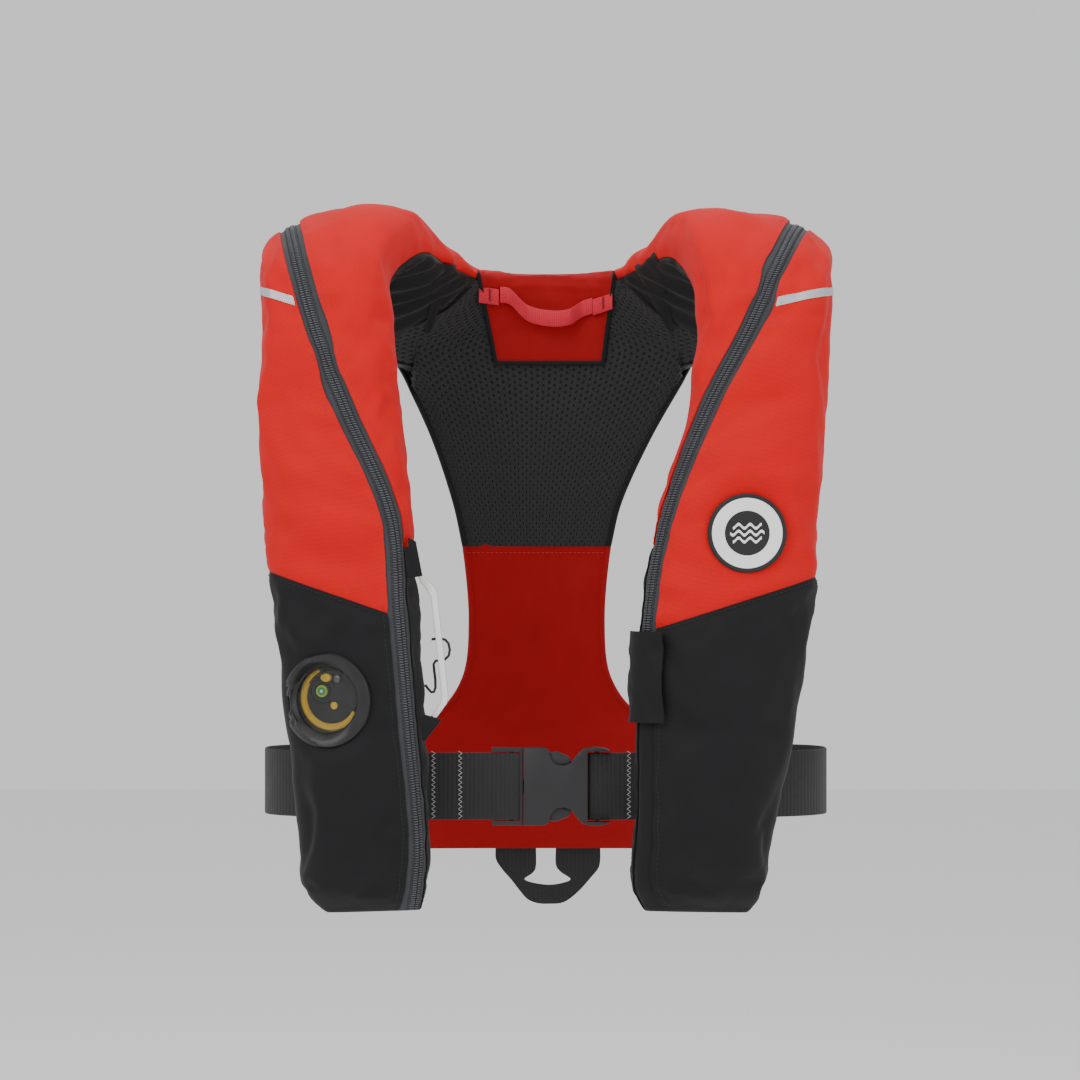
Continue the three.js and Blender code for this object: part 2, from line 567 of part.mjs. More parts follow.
// The zip's slider is parked under a black flap on the left front's edge.
const FLAP = { low: -319, high: -252, proud: 7.5 };
const SLIDER_Z = -306;
const sliderStation = stationAtLevel(flat(SLIDER_Z), LAST - 1, LAST - 5, 150, 0);
const sliderAngle = zipAngle(sliderStation);
const sliderNormal = skinNormal(sliderStation, sliderAngle);
const sliderSpot = skin(sliderStation, sliderAngle, 0).addScaledVector(sliderNormal, 3.4);
place('garage_flap', 'garage_flap', coverPiece(
  atLevel(flat(FLAP.low), LAST - 1, LAST - 6), atLevel(flat(FLAP.high), LAST - 1, LAST - 6),
  (t) => besideZip(t, -16.5), (t) => besideZip(t, 15), -FLAP.proud, -FLAP.proud + FABRIC, 4, 6),
BLACK_FABRIC);
place('zip_slider', 'zip_slider', cut(
  box(8.5, 3.2, 12, 0, 0, 0), box(3, 4.5, 4, 0, 0, -2.5))
  .rotateZ(Math.atan2(sliderNormal.y, sliderNormal.x) + Math.PI / 2)
  .translate(sliderSpot.x, sliderSpot.y, sliderSpot.z), ZIP_GREY);

// ---------------------------------------------------------------- back

// The wearer's back, seen from above: the belt ring's curve, a few millimetres inside it.
function backCurve(x, inset) {
  const reach = Math.min(Math.abs(x) / (BELT_HALF_X - inset), 0.985);
  return BELT_MID_Y + (BELT_HALF_Y - inset) * (1 - reach ** BELT_POWER) ** (1 / BELT_POWER);
}

// Half widths of the back at heights, at the wearer's right and left.
const BACK_EDGE = smoothLine([
  at(-113, 111, -46), at(-107, 105, -62), at(-87, 80, -106), at(-71, 58, -154),
  at(-63, 49, -190), at(-58, 44, -248), at(-64, 50, -295), at(-92, 80, -326),
  at(-150, 150, -345), at(-166, 166, -380), at(-166, 166, -425),
]);
function backEdgeAt(z) {
  let low = 0;
  let high = 1;
  for (let k = 0; k < 24; k++) {
    const middle = (low + high) / 2;
    if (BACK_EDGE.getPoint(middle).z > z) low = middle;
    else high = middle;
  }
  const { x, y } = BACK_EDGE.getPoint(low);
  return [x, y];
}

// A sheet of the back, between a top edge given over x and a level bottom edge. The widths
// follow the level of the sheet's middle.
function backSheet(top, bottom, inset, thick, stepsU, stepsV) {
  const layer = (depth) => (u, v) => {
    const [right, left] = backEdgeAt(lerp(top(0), bottom, u));
    const x = lerp(right, left, v);
    return at(x, backCurve(x, depth), lerp(top(x), bottom, u));
  };
  return sheet(layer(inset), layer(inset - thick), stepsU, stepsV);
}

// The collar's lower edge, from below which the mesh hangs.
function underCollar(x) {
  let low = 10;
  let high = 16;
  for (let k = 0; k < 24; k++) {
    const middle = (low + high) / 2;
    if (skin(middle, 0, 0).x < x) low = middle;
    else high = middle;
  }
  return skin(low, 0, 0).z - 1.6;
}
place('jacket', 'back_mesh', backSheet(underCollar, MESH_BOTTOM_Z, 6, 2.4, 8, 10), BLACK_MESH);
place('jacket', 'back_panel',
  backSheet(flat(MESH_BOTTOM_Z - CLEARANCE), HEM_Z, 6.4, FABRIC, 16, 10), DARK_RED);
place('jacket', 'back_outer', backSheet(underCollar, HEM_Z, 3.2, FABRIC, 18, 10), BLACK_FABRIC);

// A point that stands off the collar's wearer side, found by its place seen from the front.
function collarInside(x, z, stand) {
  let lowT = 10;
  let highT = 16;
  let point;
  for (let k = 0; k < 22; k++) {
    const t = (lowT + highT) / 2;
    let top = 182;
    let bottom = 356;
    for (let n = 0; n < 20; n++) {
      const angle = (top + bottom) / 2;
      point = skin(t, angle, -stand);
      if (point.z > z) top = angle;
      else bottom = angle;
    }
    if (point.x < x) lowT = t;
    else highT = t;
  }
  return point;
}

// Red patch behind the neck, on which the hang loop's two ends are sewn.
const PATCH = { topZ: 22, bottomZ: -46, top: [-53, 54], bottom: [-39, 45] };
const TAB_HALF = 6.3;
const TABS = [[[-52, 6.5], [-38, 5]], [[38, -3], [52, 1.5]]];
const patchPoint = (stand) => (u, v) => collarInside(
  lerp(lerp(PATCH.bottom[0], PATCH.bottom[1], v), lerp(PATCH.top[0], PATCH.top[1], v), u),
  lerp(PATCH.bottomZ, PATCH.topZ, u), stand);
const tabPoint = ([[x0, z0], [x1, z1]], stand) => (u, v) => collarInside(
  lerp(x0, x1, u), lerp(z0, z1, u) + lerp(-TAB_HALF, TAB_HALF, v), stand);
place('jacket', 'neck_patch', join(
  sheet(patchPoint(3), patchPoint(2), 6, 8),
  ...TABS.map((tab) => sheet(tabPoint(tab, 4.4), tabPoint(tab, 1.9), 2, 1))), DARK_RED);

// The free middle of the hang loop stands off the patch and droops.
const LOOP_STAND = 5.6;
const loopLine = smoothLine([
  collarInside(-37.3, 5, LOOP_STAND), collarInside(-29, 2.6, LOOP_STAND + 1.6),
  at(-14, -12.6, -7.5), at(4, -14, -11.8), at(18, -12.8, -10.6),
  collarInside(29, -5.8, LOOP_STAND + 1.6), collarInside(37.3, -2.8, LOOP_STAND),
]);
const webAlong = (line, width, thick, steps) => sheet(
  (u, v) => line.getPoint(u).add(at(0, -thick / 2, lerp(-width / 2, width / 2, v))),
  (u, v) => line.getPoint(u).add(at(0, thick / 2, lerp(-width / 2, width / 2, v))), steps, 1);
place('hang_loop', 'hang_loop', webAlong(loopLine, 12.6, 1.4, 12), WEB_RED);

// A webbing loop hangs below the hem, for a crotch strap.
const LOOP_Y = [3.2, 5];
place('crotch_loop', 'crotch_loop', cut(
  plate([[-39.5, -427], [-38, -436], [-30, -447], [-16, -461], [-11, -469.5], [-6, -471],
    [12, -471], [17, -468.5], [24, -461], [36, -447], [43, -436], [43, -427]], ...LOOP_Y),
  plate([[-7.5, -420], [-7.5, -440], [-16, -449], [-14, -452], [2, -456.5], [18, -452.5],
    [19.5, -449], [8, -440], [8, -420]], LOOP_Y[0] - 2, LOOP_Y[1] + 2)), WEB_BLACK);

// ---------------------------------------------------------------- belt and buckle

// A point of the belt ring; the angle is 0 at the back and grows towards +X.
function ringPoint(angle, inset, z) {
  const x = signedPower(Math.sin(angle), 2 / BELT_POWER) * (BELT_HALF_X - inset);
  const y = signedPower(Math.cos(angle), 2 / BELT_POWER) * (BELT_HALF_Y - inset);
  return at(x, BELT_MID_Y + y, z);
}
const frontReach = Math.PI
  - Math.asin((BELT_FRONT_X / (BELT_HALF_X - WEB_THICK)) ** (BELT_POWER / 2));
const beltHeight = (v) => lerp(BELT_Z - WEB_WIDTH / 2, BELT_Z + WEB_WIDTH / 2, v);
const beltLayer = (inset) => (u, v) =>
  ringPoint(lerp(-frontReach, frontReach, u), inset, beltHeight(v));
place('jacket', 'belt_webbing', sheet(beltLayer(0), beltLayer(WEB_THICK), 56, 1), WEB_BLACK);

// The sleeve on the back panel that carries the belt.
const SLEEVE_HALF = 31;
const sleeveLayer = (inset) => (u, v) => ringPoint(
  lerp(-0.62, 0.62, u), inset, lerp(BELT_Z - SLEEVE_HALF, BELT_Z + SLEEVE_HALF, v));
place('jacket', 'belt_sleeve', sheet(sleeveLayer(-2.4), sleeveLayer(-1.2), 14, 2), BLACK_FABRIC);

// A slider frame on each side, behind the fronts, holds the belt's end and the strap's rear
// layer; the strap's front layer passes before it.
const FRAME_Y = { front: -154.2, back: -131.2, wall: 1.7 };
function sliderFrame(x) {
  const depth = FRAME_Y.back - FRAME_Y.front;
  const y = (FRAME_Y.front + FRAME_Y.back) / 2;
  return cut(box(24, depth, WEB_WIDTH + 10, x, y, BELT_Z),
    box(30, depth - 2 * FRAME_Y.wall, WEB_WIDTH + 4, x, y, BELT_Z));
}
place('jacket', 'belt_slider_right', sliderFrame(-118), BUCKLE_GREY);
place('jacket', 'belt_slider_left', sliderFrame(122), BUCKLE_GREY);

// A strap is one length of webbing turned back round a bar and sewn to itself.
function foldedStrap(farX, barX, sewnX) {
  const back = Math.sign(barX - farX);
  const half = (STRAP_REAR_Y - STRAP_FRONT_Y) / 2;
  const line = [[farX, STRAP_REAR_Y], [barX - back * half, STRAP_REAR_Y]];
  for (let k = 1; k < 6; k++) {
    const turn = (k / 6) * Math.PI;
    line.push([barX - back * half + back * half * Math.sin(turn),
      STRAP_REAR_Y - half + half * Math.cos(turn)]);
  }
  line.push([barX - back * half, STRAP_FRONT_Y], [sewnX, STRAP_FRONT_Y]);
  const offset = (distance) => (u, v) => {
    const k = Math.round(u * (line.length - 1));
    const [x0, y0] = line[Math.max(k - 1, 0)];
    const [x1, y1] = line[Math.min(k + 1, line.length - 1)];
    const length = Math.hypot(x1 - x0, y1 - y0);
    return at(line[k][0] - ((y1 - y0) / length) * distance,
      line[k][1] + ((x1 - x0) / length) * distance, beltHeight(v));
  };
  return sheet(offset(-WEB_THICK / 2), offset(WEB_THICK / 2), line.length - 1, 1);
}
const PLUG_BAR_X = -25;
const SOCKET_BAR_X = 38;
place('buckle_plug', 'strap_right', foldedStrap(-130, PLUG_BAR_X + 3.4, -92), WEB_BLACK);
place('jacket', 'strap_left', foldedStrap(134, SOCKET_BAR_X - 3.4, 96), WEB_BLACK);

// Half of the socket's outline, mirrored about the belt's middle.
const mirrored = (half) => [...half, ...half.slice().reverse().map(([x, z]) => [x, -z])]
  .map(([x, z]) => [x, BELT_Z + z]);
const SOCKET_HALF = [
  [-16.4, 29], [-2, 29], [1.6, 27.5], [4.6, 19.5], [8.5, 16.2], [14, 15.6], [19, 17.8],
  [23.5, 23.6], [28, 28], [37, 29.4], [44, 28.4], [47.6, 26.9],
];
const SOCKET_THICK = [BUCKLE_Y - 6.6, BUCKLE_Y + 6.6];
const PLUG_THICK = 6.2;
const bar = (x0, x1, z0, z1, thick = PLUG_THICK) =>
  box(x1 - x0, thick, z1 - z0, (x0 + x1) / 2, BUCKLE_Y, BELT_Z + (z0 + z1) / 2);
place('jacket', 'buckle_socket', join(cut(
  plate(mirrored(SOCKET_HALF), ...SOCKET_THICK),
  box(45, 7.4, 53.4, 2, BUCKLE_Y, BELT_Z),
  box(20, 20, 52.6, 41, BUCKLE_Y, BELT_Z)),
bar(SOCKET_BAR_X - 1.5, SOCKET_BAR_X + 1.5, -27, 27, 2.6)), BUCKLE_GREY);

// The plug: a ladder frame that the strap turns round, and a middle guide.
place('buckle_plug', 'buckle_plug', join(
  bar(-40.4, -17, 25.8, 29), bar(-40.4, -17, -29, -25.8),
  bar(-27, -24, -27, 27, 2.6), bar(-19.4, -17, -27, 27),
  bar(-18, 14, -5, 5, 4.6)), BUCKLE_GREY);

// Two springy prongs, each with a thumb button that shows in the socket's cut-out.
const PRONG_HALF = [
  [-16.6, 14.8], [16, 14.2], [19.5, 17], [17, 22.5], [8, 26.2], [3, 25.8], [1, 19.6],
  [-16.6, 19.2],
];
for (const [name, up] of [['prong_upper', 1], ['prong_lower', -1]])
  place(name, name, plate(PRONG_HALF.map(([x, z]) => [x, BELT_Z + up * z]),
    BUCKLE_Y - 3, BUCKLE_Y + 3), BUCKLE_GREY);

export default jacket;
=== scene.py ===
# %% [markdown]
# # An inflatable life jacket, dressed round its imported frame
# The frame holds every size, mount and joint of the jacket. This lesson makes what the eye
# sees: laminated fabric, a coil zip, webbing, spacer mesh and moulded fittings. Lengths are
# written in millimetres, as a sewing room writes them, and turned to metres at the last step.

# %% Load the frame
import math

import bmesh
import bpy
import numpy as np
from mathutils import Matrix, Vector, noise


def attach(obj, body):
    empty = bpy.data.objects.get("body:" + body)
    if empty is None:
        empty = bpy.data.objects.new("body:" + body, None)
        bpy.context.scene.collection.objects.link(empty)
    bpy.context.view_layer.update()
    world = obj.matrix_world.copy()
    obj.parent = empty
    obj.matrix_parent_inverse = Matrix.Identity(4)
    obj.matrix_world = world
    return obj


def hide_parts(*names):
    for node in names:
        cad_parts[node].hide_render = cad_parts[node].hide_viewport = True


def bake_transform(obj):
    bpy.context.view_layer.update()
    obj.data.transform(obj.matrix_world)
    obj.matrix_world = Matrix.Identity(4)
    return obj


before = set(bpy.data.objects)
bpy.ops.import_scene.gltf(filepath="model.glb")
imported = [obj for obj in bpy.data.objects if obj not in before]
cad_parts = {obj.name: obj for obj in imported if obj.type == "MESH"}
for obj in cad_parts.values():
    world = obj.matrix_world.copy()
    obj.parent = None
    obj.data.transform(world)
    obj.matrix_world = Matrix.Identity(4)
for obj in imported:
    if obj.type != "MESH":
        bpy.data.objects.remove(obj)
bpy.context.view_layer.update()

MM = 0.001
TOUCHING = 1e-6

# %% [markdown]
# ## Camera
# A jacket is catalogued from the front, from far enough away that both fronts look equally
# wide. A long lens three metres off does that, level with the chest.

# %% Camera
CAMERA_AT = (-4.4, -3190, -185)
LENS, SENSOR = 135.4, 36
camera = bpy.data.objects.new("camera", bpy.data.cameras.new("camera"))
camera.data.lens, camera.data.sensor_width = LENS, SENSOR
camera.location = [c * MM for c in CAMERA_AT]
camera.rotation_euler = (math.pi / 2, 0, 0)
bpy.context.scene.collection.objects.link(camera)
bpy.context.scene.camera = camera
print("camera", LENS, "mm lens")

# %% [markdown]
# ## Cord
# A thin braided cord joins the pull handle to the firing lever. It leaves the knot behind the
# handle, loops out through the upper hole of the handle and back through the lower one.

# %% Cord
CORD_ROUTE = [(-89.2, -190, -292), (-86.9, -190.6, -295), (-84.6, -191, -297.4),
              (-82.6, -191, -297), (-81.6, -190.8, -294), (-81.7, -190.4, -288),
              (-82.6, -190.1, -281), (-83, -190, -276.6), (-81.4, -190, -274.2),
              (-78.4, -190, -273.9), (-74.6, -190, -273.2), (-71.8, -190, -270.4),
              (-71, -190, -266), (-72, -190, -261.4), (-74.4, -190, -258.6),
              (-77.6, -190, -258), (-81.6, -190, -258), (-84.6, -190, -258.4)]
CORD_THICK = 2.0
curve = bpy.data.curves.new("pull_cord_line", "CURVE")
curve.dimensions = "3D"
curve.bevel_depth = CORD_THICK / 2 * MM
curve.bevel_resolution = 4
curve.use_fill_caps = True
spline = curve.splines.new("POLY")
spline.points.add(len(CORD_ROUTE) - 1)
for point, place in zip(spline.points, CORD_ROUTE):
    point.co = (*[c * MM for c in place], 1)
guide = bpy.data.objects.new("pull_cord_guide", curve)
cord = bpy.data.objects.new("pull_cord_braid", bpy.data.meshes.new_from_object(guide))
bpy.data.objects.remove(guide)
cord.data.shade_smooth()
bpy.context.scene.collection.objects.link(cord)
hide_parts("pull_cord")
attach(cord, "pull_handle")

# %% [markdown]
# ## Materials
# One helper turns sRGB codes to linear colour and another adds a shader node with its
# settings and links. Every cloth piece carries a point attribute called weave: millimetres
# along and across the cloth. Patterns read it, so threads follow the cloth round its curves.

# %% Material helpers
def linear(code):
    channels = [int(code[k:k + 2], 16) / 255 for k in (1, 3, 5)]
    return (*[c / 12.92 if c <= 0.04045 else ((c + 0.055) / 1.055) ** 2.4
              for c in channels], 1.0)


def add(tree, kind, inputs=None, **settings):
    """Adds a node. A value given as an input is set on the socket, a socket is linked."""
    made = tree.nodes.new(kind)
    for key, value in settings.items():
        setattr(made, key, value)
    for key, value in (inputs or {}).items():
        if isinstance(value, bpy.types.NodeSocket):
            tree.links.new(value, made.inputs[key])
        else:
            made.inputs[key].default_value = value
    return made


def calc(tree, operation, *values):
    return add(tree, "ShaderNodeMath", dict(enumerate(values)), operation=operation).outputs[0]


def start_material(name, **surface):
    """A principled surface with its constant sockets set; returns the tree and the shader."""
    made = bpy.data.materials.new(name)
    made.use_nodes = True
    tree = made.node_tree
    shader = tree.nodes["Principled BSDF"]
    for key, value in surface.items():
        shader.inputs[key.replace("_", " ")].default_value = value
    return made, tree, shader


def finish_surface(tree, shader, colours, shade, rough, height, depth_mm):
    """Colour runs between two hex codes by shade, roughness between two values, height bumps."""
    ramp = add(tree, "ShaderNodeMix", {0: shade, 6: linear(colours[0]), 7: linear(colours[1])},
               data_type="RGBA")
    tree.links.new(ramp.outputs[2], shader.inputs["Base Color"])
    roughness = add(tree, "ShaderNodeMapRange", {0: shade, 3: rough[0], 4: rough[1]})
    tree.links.new(roughness.outputs[0], shader.inputs["Roughness"])
    bump = add(tree, "ShaderNodeBump", {"Height": height, "Distance": depth_mm * MM,
                                        "Strength": 1.0})
    tree.links.new(bump.outputs[0], shader.inputs["Normal"])


def weave_axes(tree):
    """Millimetres along and across the cloth, and a soft grain that breaks up the pattern."""
    spot = add(tree, "ShaderNodeAttribute", attribute_name="weave").outputs["Vector"]
    parts = add(tree, "ShaderNodeSeparateXYZ", {0: spot})
    grain = add(tree, "ShaderNodeTexNoise", {"Vector": spot, "Scale": 0.9, "Detail": 4.0})
    patches = add(tree, "ShaderNodeTexNoise", {"Vector": spot, "Scale": 0.035, "Detail": 3.0})
    return parts.outputs[0], parts.outputs[1], grain.outputs[0], patches.outputs[0]


# %% [markdown]
# ### Laminated oxford cloth
# The shell is nylon oxford with a coated back: a plain weave of thick threads. Real threads
# are 0.5 mm apart, too fine to show from three metres, so the weave is drawn at 1.7 mm and
# kept faint. Broad, pale patches stand for how the coating catches the light.

# %% Woven cloth
def woven(name, colours, thread, rough, depth, sheen=0.15):
    made, tree, shader = start_material(name, Sheen_Weight=sheen, Sheen_Roughness=0.5,
                                        Specular_IOR_Level=0.15)
    along, across, grain, patches = weave_axes(tree)
    warp = calc(tree, "SINE", calc(tree, "MULTIPLY", along, math.pi / thread))
    weft = calc(tree, "SINE", calc(tree, "MULTIPLY", across, math.pi / thread))
    crossing = calc(tree, "MULTIPLY", warp, weft)
    threads = calc(tree, "MULTIPLY_ADD", crossing, 0.3, 0.5)
    mixed = calc(tree, "MULTIPLY_ADD", grain, 0.5, calc(tree, "MULTIPLY", threads, 0.5))
    shade = calc(tree, "MULTIPLY_ADD", patches, 0.55, calc(tree, "MULTIPLY", mixed, 0.45))
    finish_surface(tree, shader, colours, shade, rough, mixed, depth)
    return made


OXFORD_RED = woven("oxford_red", ("#b40408", "#dd0a12"), 1.7, (0.62, 0.78), 0.12, 0.05)
OXFORD_RED_INSIDE = woven("oxford_red_inside", ("#8c070d", "#ab121a"), 1.7, (0.66, 0.8), 0.10,
                          0.05)
OXFORD_BLACK = woven("oxford_black", ("#111112", "#202022"), 1.9, (0.6, 0.78), 0.14, 0.06)
LINING_BLACK = woven("taffeta_lining", ("#0b0b0c", "#1d1d1f"), 1.2, (0.42, 0.6), 0.05, 0.08)
BLADDER_CLOTH = woven("coated_bladder_cloth", ("#c9b512", "#eede3a"), 1.5, (0.35, 0.5), 0.05)
ZIP_TAPE = woven("zip_tape", ("#2c2d30", "#484a4e"), 1.3, (0.6, 0.75), 0.12)
print("woven cloths ready")


# %% [markdown]
# ### Webbing
# Belt webbing is a heavy twill. Its ribs lie side by side, each with threads that slant up
# one way and down the other, which makes a herringbone. The rib is 3.3 mm and the slanting
# thread 1.5 mm. The narrow red webbing is finer.

# %% Webbing
def webbing(name, colours, rib, thread, depth, rough=(0.55, 0.85)):
    made, tree, shader = start_material(name, Sheen_Weight=0.1, Sheen_Roughness=0.4)
    along, across, grain, patches = weave_axes(tree)
    slant = calc(tree, "PINGPONG", along, rib / 2)
    run = calc(tree, "ADD", across, slant)
    twill = calc(tree, "SINE", calc(tree, "MULTIPLY", run, 2 * math.pi / thread))
    swell = calc(tree, "ABSOLUTE",
                 calc(tree, "SINE", calc(tree, "MULTIPLY", along, math.pi / rib)))
    body = calc(tree, "MULTIPLY", calc(tree, "POWER", swell, 0.6),
                calc(tree, "MULTIPLY_ADD", twill, 0.35, 0.65))
    height = calc(tree, "MULTIPLY_ADD", grain, 0.15, body)
    # The colour follows the height: the grooves between ribs and slanting threads are painted
    # darker, painted shade that brings out the herringbone.
    shade = calc(tree, "MULTIPLY", height, calc(tree, "MULTIPLY_ADD", patches, 0.6, 0.6))
    finish_surface(tree, shader, colours, shade, rough, height, depth)
    return made


# The darker colour of each pair is the painted shade in the grooves.
WEBBING_BLACK = webbing("polyester_webbing_black", ("#020202", "#2b2b2e"), 3.3, 1.5, 0.5)
WEBBING_RED = webbing("polyester_webbing_red", ("#a8061e", "#f01c3c"), 1.5, 1.2, 0.25)
print("webbing ready")


# %% [markdown]
# ### Spacer mesh
# The yoke is a knitted spacer mesh, two faces of net held apart by upright threads. The
# holes are ovals 2.8 mm wide in staggered rows, 5.6 mm apart along a row and 3.9 mm from row
# to row. The holes are painted near black: painted shade over the black threads behind them
# gives the depth.

# %% Spacer mesh
MESH_PITCH, MESH_ROW, HOLE_WIDE, HOLE_HIGH = 5.6, 3.9, 1.55, 1.1


def spacer_mesh(name, thread_colours, hole_shade_colour):
    made, tree, shader = start_material(name, Sheen_Weight=0.1)
    along, across, grain, _ = weave_axes(tree)
    row = calc(tree, "FLOOR", calc(tree, "DIVIDE", across, MESH_ROW))
    shift = calc(tree, "MULTIPLY", calc(tree, "FLOORED_MODULO", row, 2.0), MESH_PITCH / 2)
    u = calc(tree, "FLOORED_MODULO", calc(tree, "ADD", along, shift), MESH_PITCH)
    v = calc(tree, "FLOORED_MODULO", across, MESH_ROW)
    du = calc(tree, "DIVIDE", calc(tree, "SUBTRACT", u, MESH_PITCH / 2), HOLE_WIDE)
    dv = calc(tree, "DIVIDE", calc(tree, "SUBTRACT", v, MESH_ROW / 2), HOLE_HIGH)
    reach = calc(tree, "SQRT", calc(tree, "ADD", calc(tree, "MULTIPLY", du, du),
                                    calc(tree, "MULTIPLY", dv, dv)))
    net = add(tree, "ShaderNodeMapRange", {0: reach, 1: 0.75, 2: 1.25},
              interpolation_type="SMOOTHSTEP").outputs[0]
    threads = calc(tree, "MULTIPLY", net, calc(tree, "MULTIPLY_ADD", grain, 0.7, 0.5))
    # The holes take the near-black colour: painted shade inside the mesh.
    finish_surface(tree, shader, (hole_shade_colour, thread_colours), threads, (0.9, 0.7),
                   threads, 1.1)
    return made


# 010101 is the painted shade in the holes; #1b1b1d is the threads' own black.
SPACER_MESH = spacer_mesh("spacer_mesh_black", "#1b1b1d", "#010101")
print("spacer mesh ready")


# %% [markdown]
# ### Mouldings, rubber, steel and film
# Acetal buckles leave a spark-eroded tool, so their skin has a fine, even grit. Nylon pull
# handles and caps are polished in the tool and shine more. The window is clear vinyl, and
# the reflective tape is glass beads on a silvered cloth, in a fine honeycomb.

# %% Mouldings
def moulded(name, colours, rough, grit_mm=0.8, depth=0.05, **surface):
    made, tree, shader = start_material(name, **surface)
    spot = add(tree, "ShaderNodeTexCoord").outputs["Object"]
    grit = add(tree, "ShaderNodeTexNoise", {"Vector": spot, "Scale": 1 / (grit_mm * MM),
                                            "Detail": 3.0}).outputs[0]
    cloud = add(tree, "ShaderNodeTexNoise", {"Vector": spot, "Scale": 45.0, "Detail": 2.0})
    shade = calc(tree, "MULTIPLY_ADD", grit, 0.6, calc(tree, "MULTIPLY", cloud.outputs[0], 0.4))
    finish_surface(tree, shader, colours, shade, rough, grit, depth)
    return made


ACETAL_GREY = moulded("acetal_charcoal", ("#101012", "#1e1e22"), (0.42, 0.55), 1.1, 0.12)
NYLON_WHITE = moulded("nylon_white", ("#e4e4e2", "#f6f6f4"), (0.3, 0.42), 2.0, 0.03)
NYLON_YELLOW = moulded("nylon_yellow", ("#f0b60a", "#ffdb1c"), (0.25, 0.35), 2.0, 0.03)
NYLON_BLACK = moulded("nylon_black", ("#0c0c0e", "#1c1c20"), (0.4, 0.55), 0.9, 0.12)
INDICATOR_GREEN = moulded("indicator_green", ("#0f8a44", "#27b868"), (0.2, 0.3), 2.0, 0.02)
INDICATOR_LIME = moulded("indicator_lime", ("#a9c61e", "#cbe04a"), (0.3, 0.4), 2.0, 0.02)
BOLT_STEEL = moulded("bolt_steel", ("#55504c", "#8c8780"), (0.3, 0.45), 1.5, 0.05,
                     Metallic=0.85)
CYLINDER_STEEL = moulded("zinc_plated_steel", ("#8d9093", "#b9bcbf"), (0.25, 0.4), 1.5, 0.03,
                         Metallic=0.95)
BADGE_BLACK = moulded("badge_rubber_black", ("#0a0a0d", "#141418"), (0.5, 0.65), 1.0, 0.08)
BADGE_WHITE = moulded("badge_rubber_white", ("#e8e8e6", "#f8f8f7"), (0.5, 0.6), 1.5, 0.03)
WELD_BLACK = moulded("welded_vinyl_black", ("#0b0b0d", "#161619"), (0.3, 0.45), 1.6, 0.1)
WHISTLE_ORANGE = moulded("abs_orange", ("#d9541a", "#f07030"), (0.3, 0.4), 2.0, 0.03)
THREAD_WHITE = moulded("thread_white", ("#9a9a98", "#d8d8d5"), (0.6, 0.8), 1.0, 0.1)
THREAD_RED = moulded("thread_red", ("#a01418", "#cc2226"), (0.6, 0.8), 1.0, 0.1)
THREAD_BLACK = moulded("thread_black", ("#060606", "#1c1c1d"), (0.5, 0.7), 1.0, 0.1)
CORD_BLACK = moulded("braided_cord_black", ("#060606", "#2a2a2b"), (0.6, 0.8), 0.9, 0.4)
cord.data.materials.append(CORD_BLACK)
COIL_GREY = moulded("zip_coil_nylon", ("#34353a", "#5a5b60"), (0.35, 0.5), 1.0, 0.05)
VINYL_CLEAR, _, _ = start_material("vinyl_clear", Transmission_Weight=1.0, Roughness=0.03,
                                   IOR=1.35)
print("mouldings ready")


# %% Reflective tape
def honeycomb(name, colours, cell):
    made, tree, shader = start_material(name, Metallic=0.35)
    spot = add(tree, "ShaderNodeAttribute", attribute_name="weave").outputs["Vector"]
    cells = add(tree, "ShaderNodeTexVoronoi", {"Vector": spot, "Scale": 1 / cell,
                                               "Randomness": 0.25},
                feature="DISTANCE_TO_EDGE").outputs[0]
    wall = add(tree, "ShaderNodeMapRange", {0: cells, 1: 0.0, 2: 0.18}).outputs[0]
    finish_surface(tree, shader, colours, wall, (0.5, 0.35), wall, 0.08)
    return made


REFLECTIVE = honeycomb("reflective_tape", ("#8f9296", "#c6c9cc"), 1.8)
print("reflective tape ready")

# %% [markdown]
# ## The horseshoe
# The jacket's cover is one padded tube. It starts at the bottom of the wearer's right front,
# runs over the shoulder, round the neck and down the left front. Each row below gives the
# tube's outer edge, its neck edge, the way it faces and half its thickness; the curve through
# them is the same as the frame's. A place on the tube is a station and an angle, 0 degrees at
# the outer edge, 90 on the outside and 180 at the neck edge.

